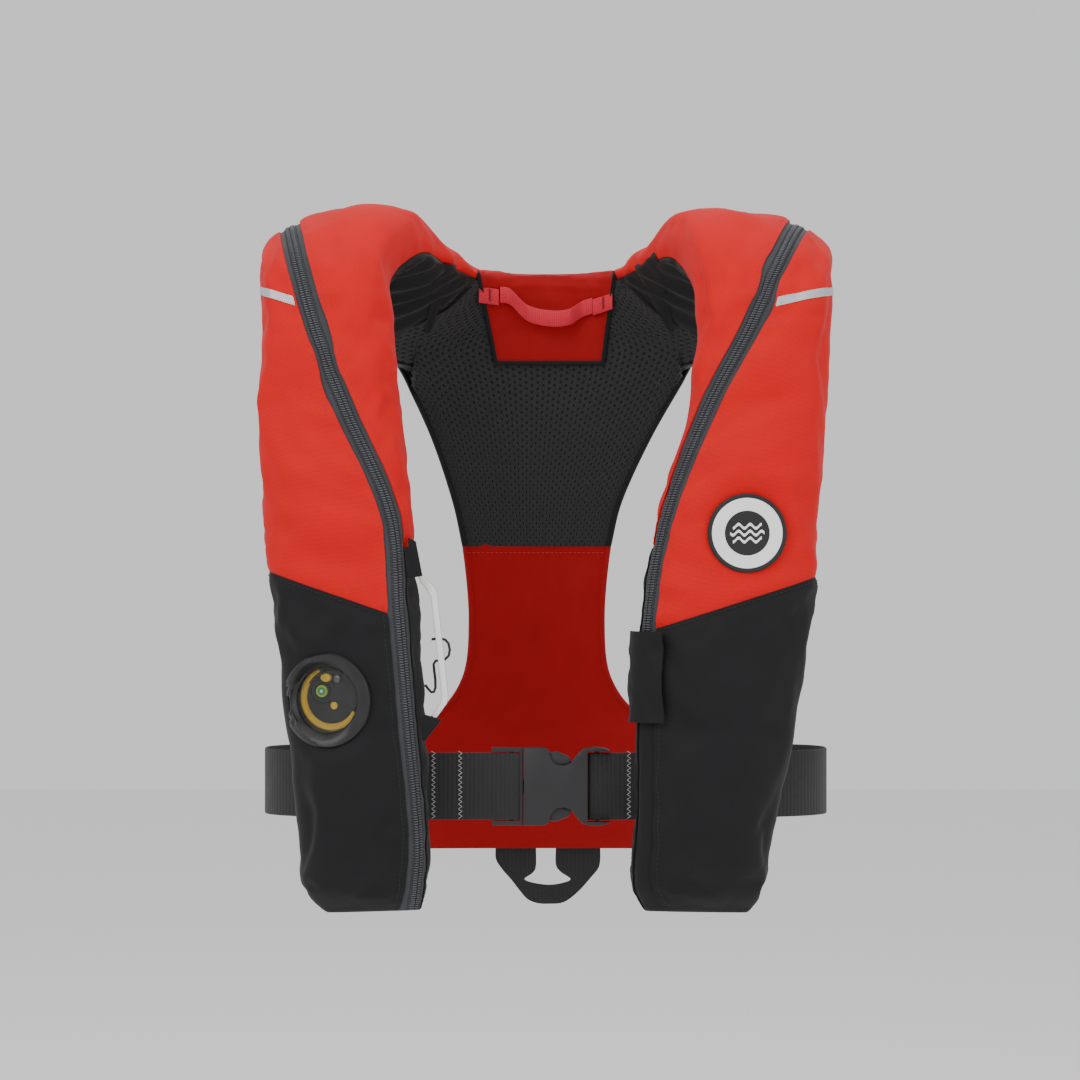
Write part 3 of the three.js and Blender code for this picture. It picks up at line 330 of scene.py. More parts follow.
# %% The tube's stations
STATIONS = [
    [(-160, -186, -463), (-93, -186, -461), (0, -1, 0), 4],
    [(-181, -188, -440), (-87.5, -188, -438), (0, -1, 0), 21],
    [(-185.5, -190, -400), (-85.5, -190, -400), (0, -1, 0), 29],
    [(-193.5, -191, -318), (-88, -191, -318), (0, -1, 0), 31],
    [(-201.5, -191, -240), (-93.5, -191, -240), (0, -1, 0), 31],
    [(-208.5, -189, -165), (-97.5, -189, -165), (0, -1, 0.02), 31],
    [(-212.5, -183, -90), (-104.5, -183, -92), (0, -1, 0.05), 30],
    [(-214, -172, -25), (-110.5, -175, -28), (-0.03, -1, 0.12), 30],
    [(-215, -152, 8), (-113, -160, 18), (-0.12, -0.72, 0.68), 30],
    [(-212, -105, 20), (-94, -112, 48), (-0.23, -0.02, 0.97), 29],
    [(-188, -50, -2), (-70, -62, 36), (-0.2, 0.62, 0.76), 24],
    [(-142, -12, -38), (-50, -20, 25), (-0.15, 0.92, 0.36), 18],
    [(-80, 8, -57), (-27, 4, 26), (-0.05, 0.99, 0.12), 15],
    [(0, 14, -62), (0, 13, 27), (0, 1, 0.03), 13],
    [(80, 8, -57), (27, 4, 26), (0.05, 0.99, 0.12), 15],
    [(144, -12, -38), (52, -20, 25), (0.15, 0.92, 0.36), 18],
    [(190, -50, -2), (70, -62, 35), (0.2, 0.62, 0.76), 24],
    [(213, -105, 20), (91, -112, 44), (0.23, -0.02, 0.97), 30],
    [(216, -152, 8), (106, -160, 16), (0.12, -0.72, 0.68), 30],
    [(215, -172, -25), (109.5, -175, -28), (0.03, -1, 0.12), 30],
    [(210, -183, -90), (102.5, -183, -92), (0, -1, 0.05), 30],
    [(203.5, -189, -165), (82, -189, -165), (0, -1, 0.02), 31],
    [(197, -191, -240), (69.5, -191, -240), (0, -1, 0), 31],
    [(187.5, -191, -318), (66.5, -191, -318), (0, -1, 0), 31],
    [(170.5, -190, -400), (65, -190, -400), (0, -1, 0), 29],
    [(162.5, -188, -440), (63.5, -188, -438), (0, -1, 0), 21],
    [(148, -186, -463), (75, -186, -462), (0, -1, 0), 4],
]
LAST = len(STATIONS) - 1
ZIP_ACROSS = [0.84, 0.84, 0.84, 0.76, 0.745, 0.7, 0.22, -0.17, -0.38, -0.58, -0.7, -0.75,
              -0.78, -0.78, -0.78, -0.75, -0.7, -0.58, -0.25, 0.2, 0.72, 0.89, 0.92, 0.9,
              0.88, 0.88, 0.88]
SECTION_POWER = 2.4
print(len(STATIONS), "stations")


# %% [markdown]
# A Catmull-Rom curve passes through its points, which suits measured stations. Numpy works
# out thousands of places on the tube at once.

# %% The tube's surface
def through(points, t):
    """Catmull-Rom through rows of numbers, at positions t counted in rows."""
    rows = np.array(points, float)
    rows = np.vstack([2 * rows[0] - rows[1], rows, 2 * rows[-1] - rows[-2]])
    t = np.asarray(t, float)
    k = np.clip(np.floor(t).astype(int), 0, len(rows) - 4)
    f = (t - k)[..., None]
    a, b, c, d = rows[k], rows[k + 1], rows[k + 2], rows[k + 3]
    return 0.5 * (2 * b + (c - a) * f + (2 * a - 5 * b + 4 * c - d) * f ** 2
                  + (3 * b - a - 3 * c + d) * f ** 3)


def unit(v):
    return v / np.linalg.norm(v, axis=-1, keepdims=True)


def spower(value, power):
    return np.sign(value) * np.abs(value) ** power


OUTER = [row[0] for row in STATIONS]
INNER = [row[1] for row in STATIONS]
FACING = unit(np.array([row[2] for row in STATIONS], float))
HALF = [[row[3], zip_at] for row, zip_at in zip(STATIONS, ZIP_ACROSS)]


def section(t):
    t = np.clip(t, 0, LAST)
    outer, inner = through(OUTER, t), through(INNER, t)
    width = np.linalg.norm(inner - outer, axis=-1, keepdims=True)
    across = (inner - outer) / width
    out = through(FACING, t)
    out = unit(out - across * (out * across).sum(-1, keepdims=True))
    numbers = through(HALF, t)
    return (outer + inner) / 2, across, out, width / 2, numbers[..., :1], numbers[..., 1]


def skin(t, angle, inset=0.0):
    """Points of the plain tube; inset goes inwards and a negative one stands off it."""
    t, angle, inset = np.broadcast_arrays(t, angle, np.asarray(inset, float))
    middle, across, out, half_width, half_thick, _ = section(t)
    turn = np.radians(angle)[..., None]
    w = -spower(np.cos(turn), 2 / SECTION_POWER) * (half_width - inset[..., None])
    n = spower(np.sin(turn), 2 / SECTION_POWER) * (half_thick - inset[..., None])
    return middle + across * w + out * n


def outwards(t, angle):
    return unit(skin(t, angle, -1.0) - skin(t, angle, 0.0))


# Tables over the stations: the zip's angle, and how many millimetres a degree is there.
T_TABLE = np.linspace(0, LAST, 521)
ZIP_TABLE = np.degrees(np.arccos(-spower(np.clip(section(T_TABLE)[5], -0.999, 0.999),
                                         SECTION_POWER / 2)))
MM_TABLE = np.linalg.norm(skin(T_TABLE, ZIP_TABLE + 2) - skin(T_TABLE, ZIP_TABLE - 2),
                          axis=-1) / 4


def zip_angle(t, beside=0.0):
    """The angle that lies some millimetres beside the zip's middle."""
    return np.interp(t, T_TABLE, ZIP_TABLE) + beside / np.interp(t, T_TABLE, MM_TABLE)


# Half the open width between the two covers, where the zip lies, and the angles of the seams
# that join the covers to the linings on the wearer's side.
ZIP_CLEAR = 8.5
INNER_SEAM, OUTER_SEAM, LINING_EDGE = 205.0, -28, 331
PINNED_SEAMS = (206, 330)


def inner_side(t):
    return np.maximum(INNER_SEAM, zip_angle(t, ZIP_CLEAR) + 5)


def level_line(level, low, high):
    """Where the tube meets a level z, which may slope over x: a table from angle to station."""
    angles = np.linspace(-60, 340, 401)
    a, b = np.full(angles.shape, float(low)), np.full(angles.shape, float(high))
    rises = skin(b, angles)[..., 2] > skin(a, angles)[..., 2]
    for _ in range(26):
        middle = (a + b) / 2
        p = skin(middle, angles)
        below = (p[..., 2] < level(p[..., 0])) == rises
        a, b = np.where(below, middle, a), np.where(below, b, middle)
    return lambda angle: np.interp(angle, angles, (a + b) / 2)


def station(t):
    return lambda angle: np.full(np.shape(angle), float(t))


def lerp(a, b, share):
    return a + (b - a) * share


def tube_faces(rows, columns, first=0):
    """Faces of a closed tube of rings of points, and of its two ends."""
    faces = [(i * columns + j, i * columns + (j + 1) % columns,
              (i + 1) * columns + (j + 1) % columns, (i + 1) * columns + j)
             for i in range(rows - 1) for j in range(columns)]
    faces += [tuple(range(columns))[::-1], tuple(range((rows - 1) * columns, rows * columns))]
    return [tuple(k + first for k in face) for face in faces]


def face_outwards(mesh):
    bm = bmesh.new()
    bm.from_mesh(mesh)
    bmesh.ops.recalc_face_normals(bm, faces=bm.faces)
    bm.to_mesh(mesh)
    bm.free()


SEAM_Z = {"right": lambda x: lerp(-209, -239, (x + 202) / 88),
          "left": lambda x: lerp(-250, -212, np.clip((x - 80) / 120, -0.2, 1.2))}
STRIP_END_Z, SHOULDER_Z = -190, -22
RIGHT_SEAM, LEFT_SEAM, MIDDLE = 11, 15, 13
CROSS = {"right": RIGHT_SEAM, "left": LEFT_SEAM}
BOTTOM = {"right": 0.12, "left": LAST - 0.12}
FRONT_STATIONS = {"right": (1, 9), "left": (LAST - 1, LAST - 9)}


def flat_level(z, side):
    return level_line(lambda x: z + 0 * x, *FRONT_STATIONS[side])


LINES = {side: dict(bottom=station(BOTTOM[side]),
                    seam=level_line(SEAM_Z[side], *FRONT_STATIONS[side]),
                    strip=flat_level(STRIP_END_Z, side),
                    shoulder=flat_level(SHOULDER_Z, side),
                    cross=station(CROSS[side]))
         for side in ("right", "left")}
print("tube ready, zip angle at the middle", round(float(zip_angle(MIDDLE)), 1))

# %% [markdown]
# ## How the padding fills the cloth
# A folded bladder pushes the cover out, and the seams hold it back. That is what Blender's
# Cloth does well: the whole tube is blown up gently with its seams pinned, and the cloth is
# cut a little large so that it buckles. Only how far each point moved is kept, with a cap, and
# every piece on the tube reads that field afterwards. So pieces that meet stay together.

# %% Blow up the tube
FIELD_T, FIELD_A = 860, 240
field_t = np.linspace(0, LAST, FIELD_T)
field_a = np.linspace(0, 360, FIELD_A, endpoint=False)
PUFF_CAP_OUT, PUFF_CAP_IN = 5.0, 2.5


def blown_up():
    """How far the cloth moves from the plain tube, in millimetres, on a coarse grid."""
    rows, columns, frames = 216, 60, 14
    t = np.linspace(0.05, LAST - 0.05, rows)
    a = np.linspace(0, 360, columns, endpoint=False)
    grid_t, grid_a = np.meshgrid(t, a, indexing="ij")
    rest = skin(grid_t, grid_a)
    mesh = bpy.data.meshes.new("blow_up")
    mesh.from_pydata((rest.reshape(-1, 3) * MM).tolist(), [], tube_faces(rows, columns))
    face_outwards(mesh)
    tube = bpy.data.objects.new("blow_up", mesh)
    bpy.context.scene.collection.objects.link(tube)
    seams = (np.abs(grid_a - zip_angle(grid_t)) * np.interp(grid_t, T_TABLE, MM_TABLE)
             < ZIP_CLEAR)
    for angle in PINNED_SEAMS:
        seams |= np.abs(grid_a - angle) < 4
    outside = (grid_a < PINNED_SEAMS[0]) | (grid_a > PINNED_SEAMS[1])
    for side in ("right", "left"):
        for line in ("seam", "cross"):
            cut = LINES[side][line](grid_a)
            seams |= outside & (np.abs(grid_t - cut) < 0.075)
    seams |= (grid_t < 0.4) | (grid_t > LAST - 0.4)
    group = tube.vertex_groups.new(name="seams")
    group.add(np.flatnonzero(seams.ravel()).tolist(), 1.0, "REPLACE")
    cloth = tube.modifiers.new("cloth", "CLOTH")
    cloth.settings.quality = 5
    cloth.settings.mass = 0.2
    cloth.settings.use_pressure = True
    cloth.settings.uniform_pressure_force = 2.2
    cloth.settings.shrink_min = -0.035
    cloth.settings.bending_stiffness = 0.4
    cloth.settings.vertex_group_mass = "seams"
    cloth.settings.effector_weights.gravity = 0
    cloth.collision_settings.use_collision = False
    scene = bpy.context.scene
    for k in range(1, frames + 1):
        scene.frame_set(k)
    final = tube.evaluated_get(bpy.context.evaluated_depsgraph_get()).to_mesh()
    moved = np.zeros(rows * columns * 3)
    final.vertices.foreach_get("co", moved)
    shift = moved.reshape(rows, columns, 3) / MM - rest
    bpy.data.objects.remove(tube)
    bpy.data.meshes.remove(mesh)
    scene.frame_set(1)
    return t, a, shift


def spread(t, a, coarse):
    """A coarse grid of numbers, drawn out smoothly onto the fine field."""
    wrapped = np.concatenate([coarse, coarse[:, :1]], axis=1)
    wrapped_a = np.append(a, 360.0)
    along = np.array([np.interp(field_t, t, wrapped[:, j]) for j in range(wrapped.shape[1])]).T
    full = np.array([np.interp(field_a, wrapped_a, row) for row in along])
    for _ in range(3):
        full = (np.roll(full, 1, 1) + 2 * full + np.roll(full, -1, 1)) / 4
        full[1:-1] = (full[:-2] + 2 * full[1:-1] + full[2:]) / 4
    return full


grid_t, grid_a = np.meshgrid(field_t, field_a, indexing="ij")
coarse_t, coarse_a, shift = blown_up()
coarse_out = outwards(*np.meshgrid(coarse_t, coarse_a, indexing="ij"))
coarse_puff = np.clip((shift * coarse_out).sum(-1), -PUFF_CAP_IN, PUFF_CAP_OUT)
puff = spread(coarse_t, coarse_a, coarse_puff)
print("puff from", round(float(puff.min()), 2), "to", round(float(puff.max()), 2), "mm")

# %% [markdown]
# Small creases come on top. Stitching pulls cloth along the zip into short puckers, and cloth
# that stands on a person sags into long level creases. Both are smooth noise, stretched one
# way. Round the window and the badge the cloth lies flat, because a stiff piece holds it.

# %% Creases
WINDOW = dict(x=-160.5, y=-216.0, z=-302.4, turn=20.0, ring=34.5, clear=26.0)
BADGE = dict(x=147.0, y=-221.6, z=-180.0, radius=29.0)
SHOULDER_STATIONS, SHOULDER_REACH = (9.2, 16.8), 1.4
HELD_RADIUS, HELD_FADE, FRONT_Y = 32, 14, -190


def smooth_noise(points, scale, seed):
    """Blender's noise at every point; scale gives the size of a crease along x, y and z."""
    flat = (points.reshape(-1, 3) / np.array(scale) + seed).tolist()
    return np.array([noise.noise(p) for p in flat]).reshape(points.shape[:-1])


plain = skin(grid_t, grid_a)
beside = (grid_a - zip_angle(grid_t)) * np.interp(grid_t, T_TABLE, MM_TABLE)
sag = (smooth_noise(plain, (80, 60, 13), 3.1) * 0.75
       + smooth_noise(plain, (60, 90, 34), 9.4) * 1.3)
pucker = smooth_noise(plain, (11, 11, 6), 5.7) * np.exp(-np.maximum(np.abs(beside) - 8, 0) / 9)
shoulder = sum(np.exp(-((grid_t - middle) / SHOULDER_REACH) ** 2)
               for middle in SHOULDER_STATIONS)
folds = smooth_noise(plain, (26, 40, 60), 1.3) * shoulder * 2.0
holds = np.ones(grid_t.shape)
for spot in (WINDOW, BADGE):
    reach = np.hypot(plain[..., 0] - spot["x"], plain[..., 2] - spot["z"])
    near = np.clip((reach - HELD_RADIUS) / HELD_FADE, 0, 1)
    holds = np.where(plain[..., 1] < FRONT_Y, holds * near, holds)
quiet = np.clip((np.abs(beside) - 5) / 6, 0, 1)
field = (puff + sag + folds) * holds * quiet + pucker * 0.55 * holds * (0.3 + 0.7 * quiet)
print("creases from", round(float(field.min()), 2), "to", round(float(field.max()), 2), "mm")


def surface(t, angle, stand=0.0):
    """Points of the padded cover, standing some millimetres off the cloth."""
    t, angle, stand = np.broadcast_arrays(t, angle, np.asarray(stand, float))
    row = np.clip(t / LAST * (FIELD_T - 1), 0, FIELD_T - 1.001)
    column = (angle % 360) / 360 * FIELD_A
    i, j = np.floor(row).astype(int), np.floor(column).astype(int) % FIELD_A
    fi, fj = row - i, column - np.floor(column)
    j2 = (j + 1) % FIELD_A
    height = ((field[i, j] * (1 - fj) + field[i, j2] * fj) * (1 - fi)
              + (field[i + 1, j] * (1 - fj) + field[i + 1, j2] * fj) * fi)
    return skin(t, angle) + outwards(t, angle) * (height + stand)[..., None]


# %% [markdown]
# ## Making cloth pieces
# Each piece is two grids of points, the face and the back of the cloth, joined round the
# rim. Near an edge the cloth turns in to its seam, so two pieces that meet make a valley,
# and beside the zip it is folded under and stands up a little.

# %% Cloth helpers
def object_of(name, points, faces, material, weave=None, sharp=50):
    """A mesh object from points in millimetres."""
    mesh = bpy.data.meshes.new(name)
    mesh.from_pydata((np.asarray(points, float) * MM).tolist(), [], faces)
    mesh.materials.append(material)
    face_outwards(mesh)
    mesh.shade_smooth()
    mesh.set_sharp_from_angle(angle=math.radians(sharp))
    if weave is not None:
        layer = mesh.attributes.new("weave", "FLOAT_VECTOR", "POINT")
        layer.data.foreach_set("vector", np.asarray(weave, float).ravel())
    made = bpy.data.objects.new(name, mesh)
    bpy.context.scene.collection.objects.link(made)
    return made


def lengths(points, axis):
    """Distance along a grid of points, averaged over the other way of the grid."""
    steps = np.linalg.norm(np.diff(points, axis=axis), axis=-1).mean(axis=1 - axis)
    return np.concatenate([[0.0], np.cumsum(steps)])


def run_along(line):
    """Distance from the start of a line, at each of its points."""
    steps = np.linalg.norm(np.diff(line, axis=0), axis=1)
    return np.concatenate([[0], np.cumsum(steps)])


def front_weave(points):
    """A flat piece's cloth coordinates, read off its x and its height."""
    return np.stack([points[:, 0], points[:, 2], 0 * points[:, 0]], -1)


def sheet_of(name, face, back, material, sharp=50, keep=None, turned=False):
    """A cloth with thickness, from two grids of points of the same size."""
    rows, columns = face.shape[:2]
    count = rows * columns
    index = np.arange(count).reshape(rows, columns)
    shown = np.ones((rows - 1, columns - 1), bool) if keep is None else keep
    faces, edges = [], {}
    for i, j in zip(*np.nonzero(shown)):
        quad = [int(index[i, j]), int(index[i, j + 1]), int(index[i + 1, j + 1]),
                int(index[i + 1, j])]
        faces.append(tuple(quad))
        faces.append(tuple(k + count for k in quad[::-1]))
        for a, b in zip(quad, quad[1:] + quad[:1]):
            if (b, a) in edges:
                del edges[(b, a)]
            else:
                edges[(a, b)] = True
    faces += [(b, a, a + count, b + count) for a, b in edges]
    u, v = np.meshgrid(lengths(face, 0), lengths(face, 1), indexing="ij")
    if turned:
        u, v = v, u
    weave = np.stack([u, v, np.zeros_like(u)], -1).reshape(-1, 3)
    points = np.concatenate([face.reshape(-1, 3), back.reshape(-1, 3)])
    used = np.zeros(2 * count, bool)
    used[np.unique(np.concatenate([np.array(f) for f in faces]))] = True
    new_index = np.cumsum(used) - 1
    faces = [tuple(int(new_index[k]) for k in f) for f in faces]
    return object_of(name, points[used], faces, material, np.vstack([weave, weave])[used],
                     sharp)


def edge_profile(rows, columns, size, edges):
    """How far the cloth stands, by the distance to its four edges: start, end, low, high."""
    i = np.arange(rows)[:, None] * size[0] / (rows - 1)
    j = np.arange(columns)[None, :] * size[1] / (columns - 1)
    stand = np.zeros((rows, columns))
    for distance, (height, reach) in zip((i, size[0] - i, j, size[1] - j), edges):
        stand = stand + height * np.exp(-(distance / reach) ** 2)
    return stand


SEAM, FREE = (-1.3, 2.6), (0.0, 1.0)
ZIP_FOLD = (0.7, 3.0)
CLOTH = 1.1


def cover(name, start, end, low, high, material, edges, cell=2.8, thick=CLOTH, stand=0.0,
          keep=None):
    """A cloth on the tube, from one line of stations to another and between two angles."""
    def lay(rows, columns):
        u, v = np.meshgrid(np.linspace(0, 1, rows), np.linspace(0, 1, columns), indexing="ij")
        t = (start(90.0) + end(90.0)) / 2 + 0 * u
        for _ in range(9):
            angle = lerp(low(t), high(t), v)
            t = lerp(start(angle), end(angle), u)
        return t, angle
    rough = surface(*lay(24, 12))
    size = (lengths(rough, 0)[-1], lengths(rough, 1)[-1])
    rows, columns = (max(4, int(s / cell)) + 1 for s in size)
    t, angle = lay(rows, columns)
    if callable(stand):
        seam_taper = 1 - np.clip(edge_profile(rows, columns, size, [(1.0, 9.0)] * 4), 0, 1)
        stand = stand(t, angle) * seam_taper
    height = stand + edge_profile(rows, columns, size, edges)
    face = surface(t, angle, height)
    made = sheet_of(name, face, surface(t, angle, height - thick), material,
                    keep=keep(face) if keep else None)
    made["size_mm"] = [round(float(s), 1) for s in size]
    return made


def across_shoulder(piece, side):
    """Bakes the piece's placement into its points."""
    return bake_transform(piece)


def from_angle(angle):
    return lambda t: np.full(np.shape(t), float(angle))


# %% [markdown]
# ## The covers
# Red cloth over black lower panels, cut on a slant. The zip runs between an outer and an
# inner strip of cloth all the way round. Each strip is one piece from its slanted seam to the
# back of the shoulder or to the middle of the back, as it would be cut.

# %% Covers
WINDOW_HOLE = 30.0
WEARER_SUNK = -3.0


def round_the_window(face):
    """Cells to keep: those outside the window's hole."""
    spot = np.array([WINDOW["x"], WINDOW["y"], WINDOW["z"]])
    reach = np.linalg.norm(face - spot, axis=-1)
    return (reach[:-1, :-1] + reach[1:, 1:] + reach[1:, :-1] + reach[:-1, 1:]) / 4 > WINDOW_HOLE


def folds(deep, per_station, slant):
    """Loose folds across a lining. They only stand off the padding, never into it."""
    return lambda t, angle: deep * (0.5 + 0.5 * np.sin(
        2 * math.pi * (t * per_station + angle / slant))) ** 1.5


def before_zip(t):
    return zip_angle(t, -ZIP_CLEAR)


def after_zip(t):
    return zip_angle(t, ZIP_CLEAR)


def behind_seam(t):
    return inner_side(t) + 1.0


outer_edge, wearer_edge = from_angle(OUTER_SEAM), from_angle(LINING_EDGE)
ALL_SEWN, ALL_FREE = (SEAM, SEAM, SEAM, SEAM), (FREE, FREE, FREE, FREE)
ZIP_AFTER, ZIP_BEFORE = (SEAM, SEAM, SEAM, ZIP_FOLD), (SEAM, SEAM, ZIP_FOLD, SEAM)
LINING_FOLDS = {"right": folds(4.2, 2.1, 62), "left": folds(2.6, 1.7, -80)}
for side, lines in LINES.items():
    front = f"{side}_front"
    outer = cover(f"{side}_shell_outer", lines["seam"], station(MIDDLE), outer_edge,
                  before_zip, OXFORD_RED, ZIP_AFTER)
    inner = cover(f"{side}_shell_inner", lines["strip"], lines["cross"], after_zip, inner_side,
                  OXFORD_RED, ZIP_BEFORE)
    panel = cover(f"{side}_panel_outer", lines["bottom"], lines["seam"], outer_edge,
                  before_zip, OXFORD_BLACK, ZIP_AFTER,
                  keep=round_the_window if side == "right" else None)
    strip = cover(f"{side}_panel_strip", lines["bottom"], lines["strip"], after_zip, inner_side,
                  OXFORD_BLACK, ZIP_BEFORE)
    backing = cover(f"{side}_wearer_side", lines["bottom"], lines["shoulder"], behind_seam,
                    wearer_edge, LINING_BLACK, ALL_SEWN, cell=4,
                    stand=lambda t, angle: WEARER_SUNK + 0 * t)
    lining = cover(f"{side}_shoulder_lining", lines["shoulder"], lines["cross"], behind_seam,
                   wearer_edge, LINING_BLACK, ALL_SEWN, cell=2.4, stand=LINING_FOLDS[side])
    for piece, nodes, slot in (
            (outer, [f"{side}_cover"] + (["collar_edge"] if side == "right" else []),
             "red_fabric"),
            (inner, [f"{side}_cover_inner", f"shoulder_cover_{side}"], "red_fabric"),
            (panel, [f"{side}_panel"], "black_fabric"),
            (strip, [f"{side}_panel_inner"], "black_fabric"),
            (backing, [f"{side}_backing"], "black_lining"),
            (lining, [f"shoulder_lining_{side}"], "black_lining")):
        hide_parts(*nodes)
        across_shoulder(piece, side)
        print(piece.name, list(piece["size_mm"]))

collar = cover("collar_shell", station(RIGHT_SEAM), station(LEFT_SEAM), after_zip, inner_side,
               OXFORD_RED, ZIP_BEFORE)
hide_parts("collar_cover")
collar_lining = cover("collar_lining", station(RIGHT_SEAM), station(LEFT_SEAM), behind_seam,
                      wearer_edge, SPACER_MESH, ALL_SEWN, cell=3)
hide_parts("collar_mesh")
for piece in (collar, collar_lining):
    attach(piece, "jacket")

# %% [markdown]
# ## The zip
# A coil zip is two woven tapes, each with a nylon coil sewn along its edge. The coils lock
# in the middle, so the chain looks like two rows of short bars with a dark line between.
# The tape is a cloth piece, and the bars are one mesh, laid along the chain one by one. Real
# bars are 1.5 mm apart; they are drawn at 1.9 mm, so that they still read from three metres.

# %% Zip helpers
COIL_PITCH, COIL_REACH, COIL_GAP = 1.9, 3.1, 0.35
BAR = [(-1, 0), (-0.6, 0.85), (0.6, 0.85), (1, 0), (0.6, -0.85), (-0.6, -0.85)]
# Where a bar's rings of points lie, from 0 at its start to 1 at its end, and their size.
BAR_RINGS = ((0.0, 0.45), (0.16, 1.0), (0.84, 1.0), (1.0, 0.45))
BAR_HALF_WIDE, BAR_HALF_HIGH = 0.62, 0.75
STITCH, STITCH_PITCH, STITCH_HALF = 2.6, 3.6, 0.28


def even_stations(t0, t1, beside, pitch):
    """Stations a fixed distance apart along a line beside the zip's middle."""
    t = np.linspace(t0, t1, 1200)
    points = surface(t, zip_angle(t, beside))
    run = run_along(points)
    return np.interp(np.arange(pitch / 2, run[-1], pitch), run, t)


def prisms(name, starts, ends, ups, half_wide, half_high, material):
    """Short bars with a six-sided section and pinched ends, all in one mesh."""
    along = ends - starts
    side = unit(np.cross(along, ups)) * half_wide
    up = unit(ups) * half_high
    points, faces = [], []
    for a, d, s, n in zip(starts, along, side, up):
        first = len(points)
        for share, size in BAR_RINGS:
            points += [a + d * share + s * x * size + n * y * size for x, y in BAR]
        faces += tube_faces(len(BAR_RINGS), len(BAR), first)
    return object_of(name, points, faces, material)


def coil(name, t0, t1):
    """Both rows of bars between two stations."""
    starts, ends, ups = [], [], []
    for way in (-1, 1):
        t = even_stations(t0, t1, way * COIL_REACH / 2, COIL_PITCH)
        starts.append(surface(t, zip_angle(t, way * COIL_GAP), 0.35))
        ends.append(surface(t, zip_angle(t, way * (COIL_GAP + COIL_REACH)), 0.25))
        ups.append(outwards(t, zip_angle(t)))
    return prisms(name, np.vstack(starts), np.vstack(ends), np.vstack(ups), BAR_HALF_WIDE,
                  BAR_HALF_HIGH, COIL_GREY)


def stitches(name, points, ups, length, pitch, half, material):
    """A row of stitches along a line of points."""
    points, ups = np.asarray(points, float), np.asarray(ups, float)
    run = run_along(points)
    starts = np.arange(pitch / 2, run[-1] - length, pitch)

    def on_line(values, distance):
        return np.stack([np.interp(distance, run, values[:, k]) for k in range(3)], -1)
    return prisms(name, on_line(points, starts), on_line(points, starts + length),
                  on_line(ups, starts), half, half * 0.8, material)


def seam_stitches(name, t, angle, stand, material, length=STITCH, pitch=STITCH_PITCH,
                  half=STITCH_HALF):
    return stitches(name, surface(t, angle, stand), outwards(t, angle), length, pitch, half,
                    material)


TAPE_HALF = 9.2
FLAP_LOW_Z, FLAP_HIGH_Z = -319, -252
ZIP_LEVELS = {z: flat_level(z, "left") for z in (FLAP_LOW_Z, FLAP_HIGH_Z)}
zip_end = float(ZIP_LEVELS[FLAP_LOW_Z](120.0)) - 0.15
print("zip's lower end on the left, station", round(zip_end, 2))


# %% Zip pieces
TAPE_SEAM, TAPE_STITCHES = (-0.3, 1.5), (-4.6, 4.6)


def tape_low(t):
    return zip_angle(t, -TAPE_HALF)


def tape_high(t):
    return zip_angle(t, TAPE_HALF)


ZIP_PARTS = [("right_zip_tape", BOTTOM["right"], RIGHT_SEAM, "right", ["right_zip"]),
             ("collar_zip_tape", RIGHT_SEAM, LEFT_SEAM, None, ["collar_zip"]),
             ("left_zip_tape", zip_end, LEFT_SEAM, "left", ["left_zip"])]
for name, t0, t1, side, nodes in ZIP_PARTS:
    tape = cover(name, station(t0), station(t1), tape_low, tape_high, ZIP_TAPE,
                 (FREE, FREE, TAPE_SEAM, TAPE_SEAM), cell=2.2, stand=-0.6, thick=0.9)
    chain = coil(name.replace("tape", "coil"), t0, t1)
    t = np.linspace(t0, t1, 900)
    rows = [seam_stitches(f"{name}_stitch_{k}", t, zip_angle(t, beside), -0.1, THREAD_BLACK,
                          2.2, 3.0, 0.25) for k, beside in enumerate(TAPE_STITCHES)]
    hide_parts(*nodes)
    for piece in (tape, chain, *rows):
        if side:
            across_shoulder(piece, side)
        else:
            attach(piece, "jacket")
    print(name, len(chain.data.vertices) // (len(BAR_RINGS) * len(BAR)), "bars")

# Below its flap the left zip stops, and a folded strip of black cloth closes the front.
placket = cover("left_placket", LINES["left"]["bottom"], station(zip_end), tape_low, tape_high,
                OXFORD_BLACK, (SEAM, FREE, SEAM, SEAM), cell=2.4, stand=0.1, thick=0.9)
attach(placket, "left_front")

# %% [markdown]
# ### Topstitching
# Each strip of cloth is sewn down 2 mm beside the zip and beside each cross seam. One stitch
# is a short bar of thread, and a row of them is one mesh.

# %% Topstitching
SEWN_BESIDE = 11.6
for side, lines in LINES.items():
    end = 0.3 if side == "right" else LAST - 0.3
    for part, beside, low_end in (("outer", -SEWN_BESIDE, lines["seam"]),
                                  ("inner", SEWN_BESIDE, lines["strip"])):
        cut = float(low_end(zip_angle(lines["cross"](0.0), beside)))
        for _ in range(6):
            cut = float(low_end(float(zip_angle(cut, beside))))
        stop = MIDDLE if part == "outer" else float(lines["cross"](0.0))
        t = np.linspace(cut, stop, 900)
        row = seam_stitches(f"{side}_topstitch_{part}", t, zip_angle(t, beside), 0.15,
                            THREAD_RED)
        low_row = seam_stitches(f"{side}_panel_topstitch_{part}", np.linspace(end, cut, 500),
                                zip_angle(np.linspace(end, cut, 500), beside), 0.15,
                                THREAD_BLACK)
        for piece in (row, low_row):
            across_shoulder(piece, side)
    angles = np.linspace(-24, float(zip_angle(lines["seam"](90.0), -12)), 300)
    seam_t = lines["seam"](angles) + (-0.035 if side == "right" else 0.035)
    row = seam_stitches(f"{side}_seam_topstitch", seam_t, angles, 0.1, THREAD_BLACK)
    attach(row, f"{side}_front")
print("topstitching done")

# %% [markdown]
# ### Reflective strips
# A silver tape crosses each outer shoulder, from the outer edge to the zip, at the height of
# the collar bone.

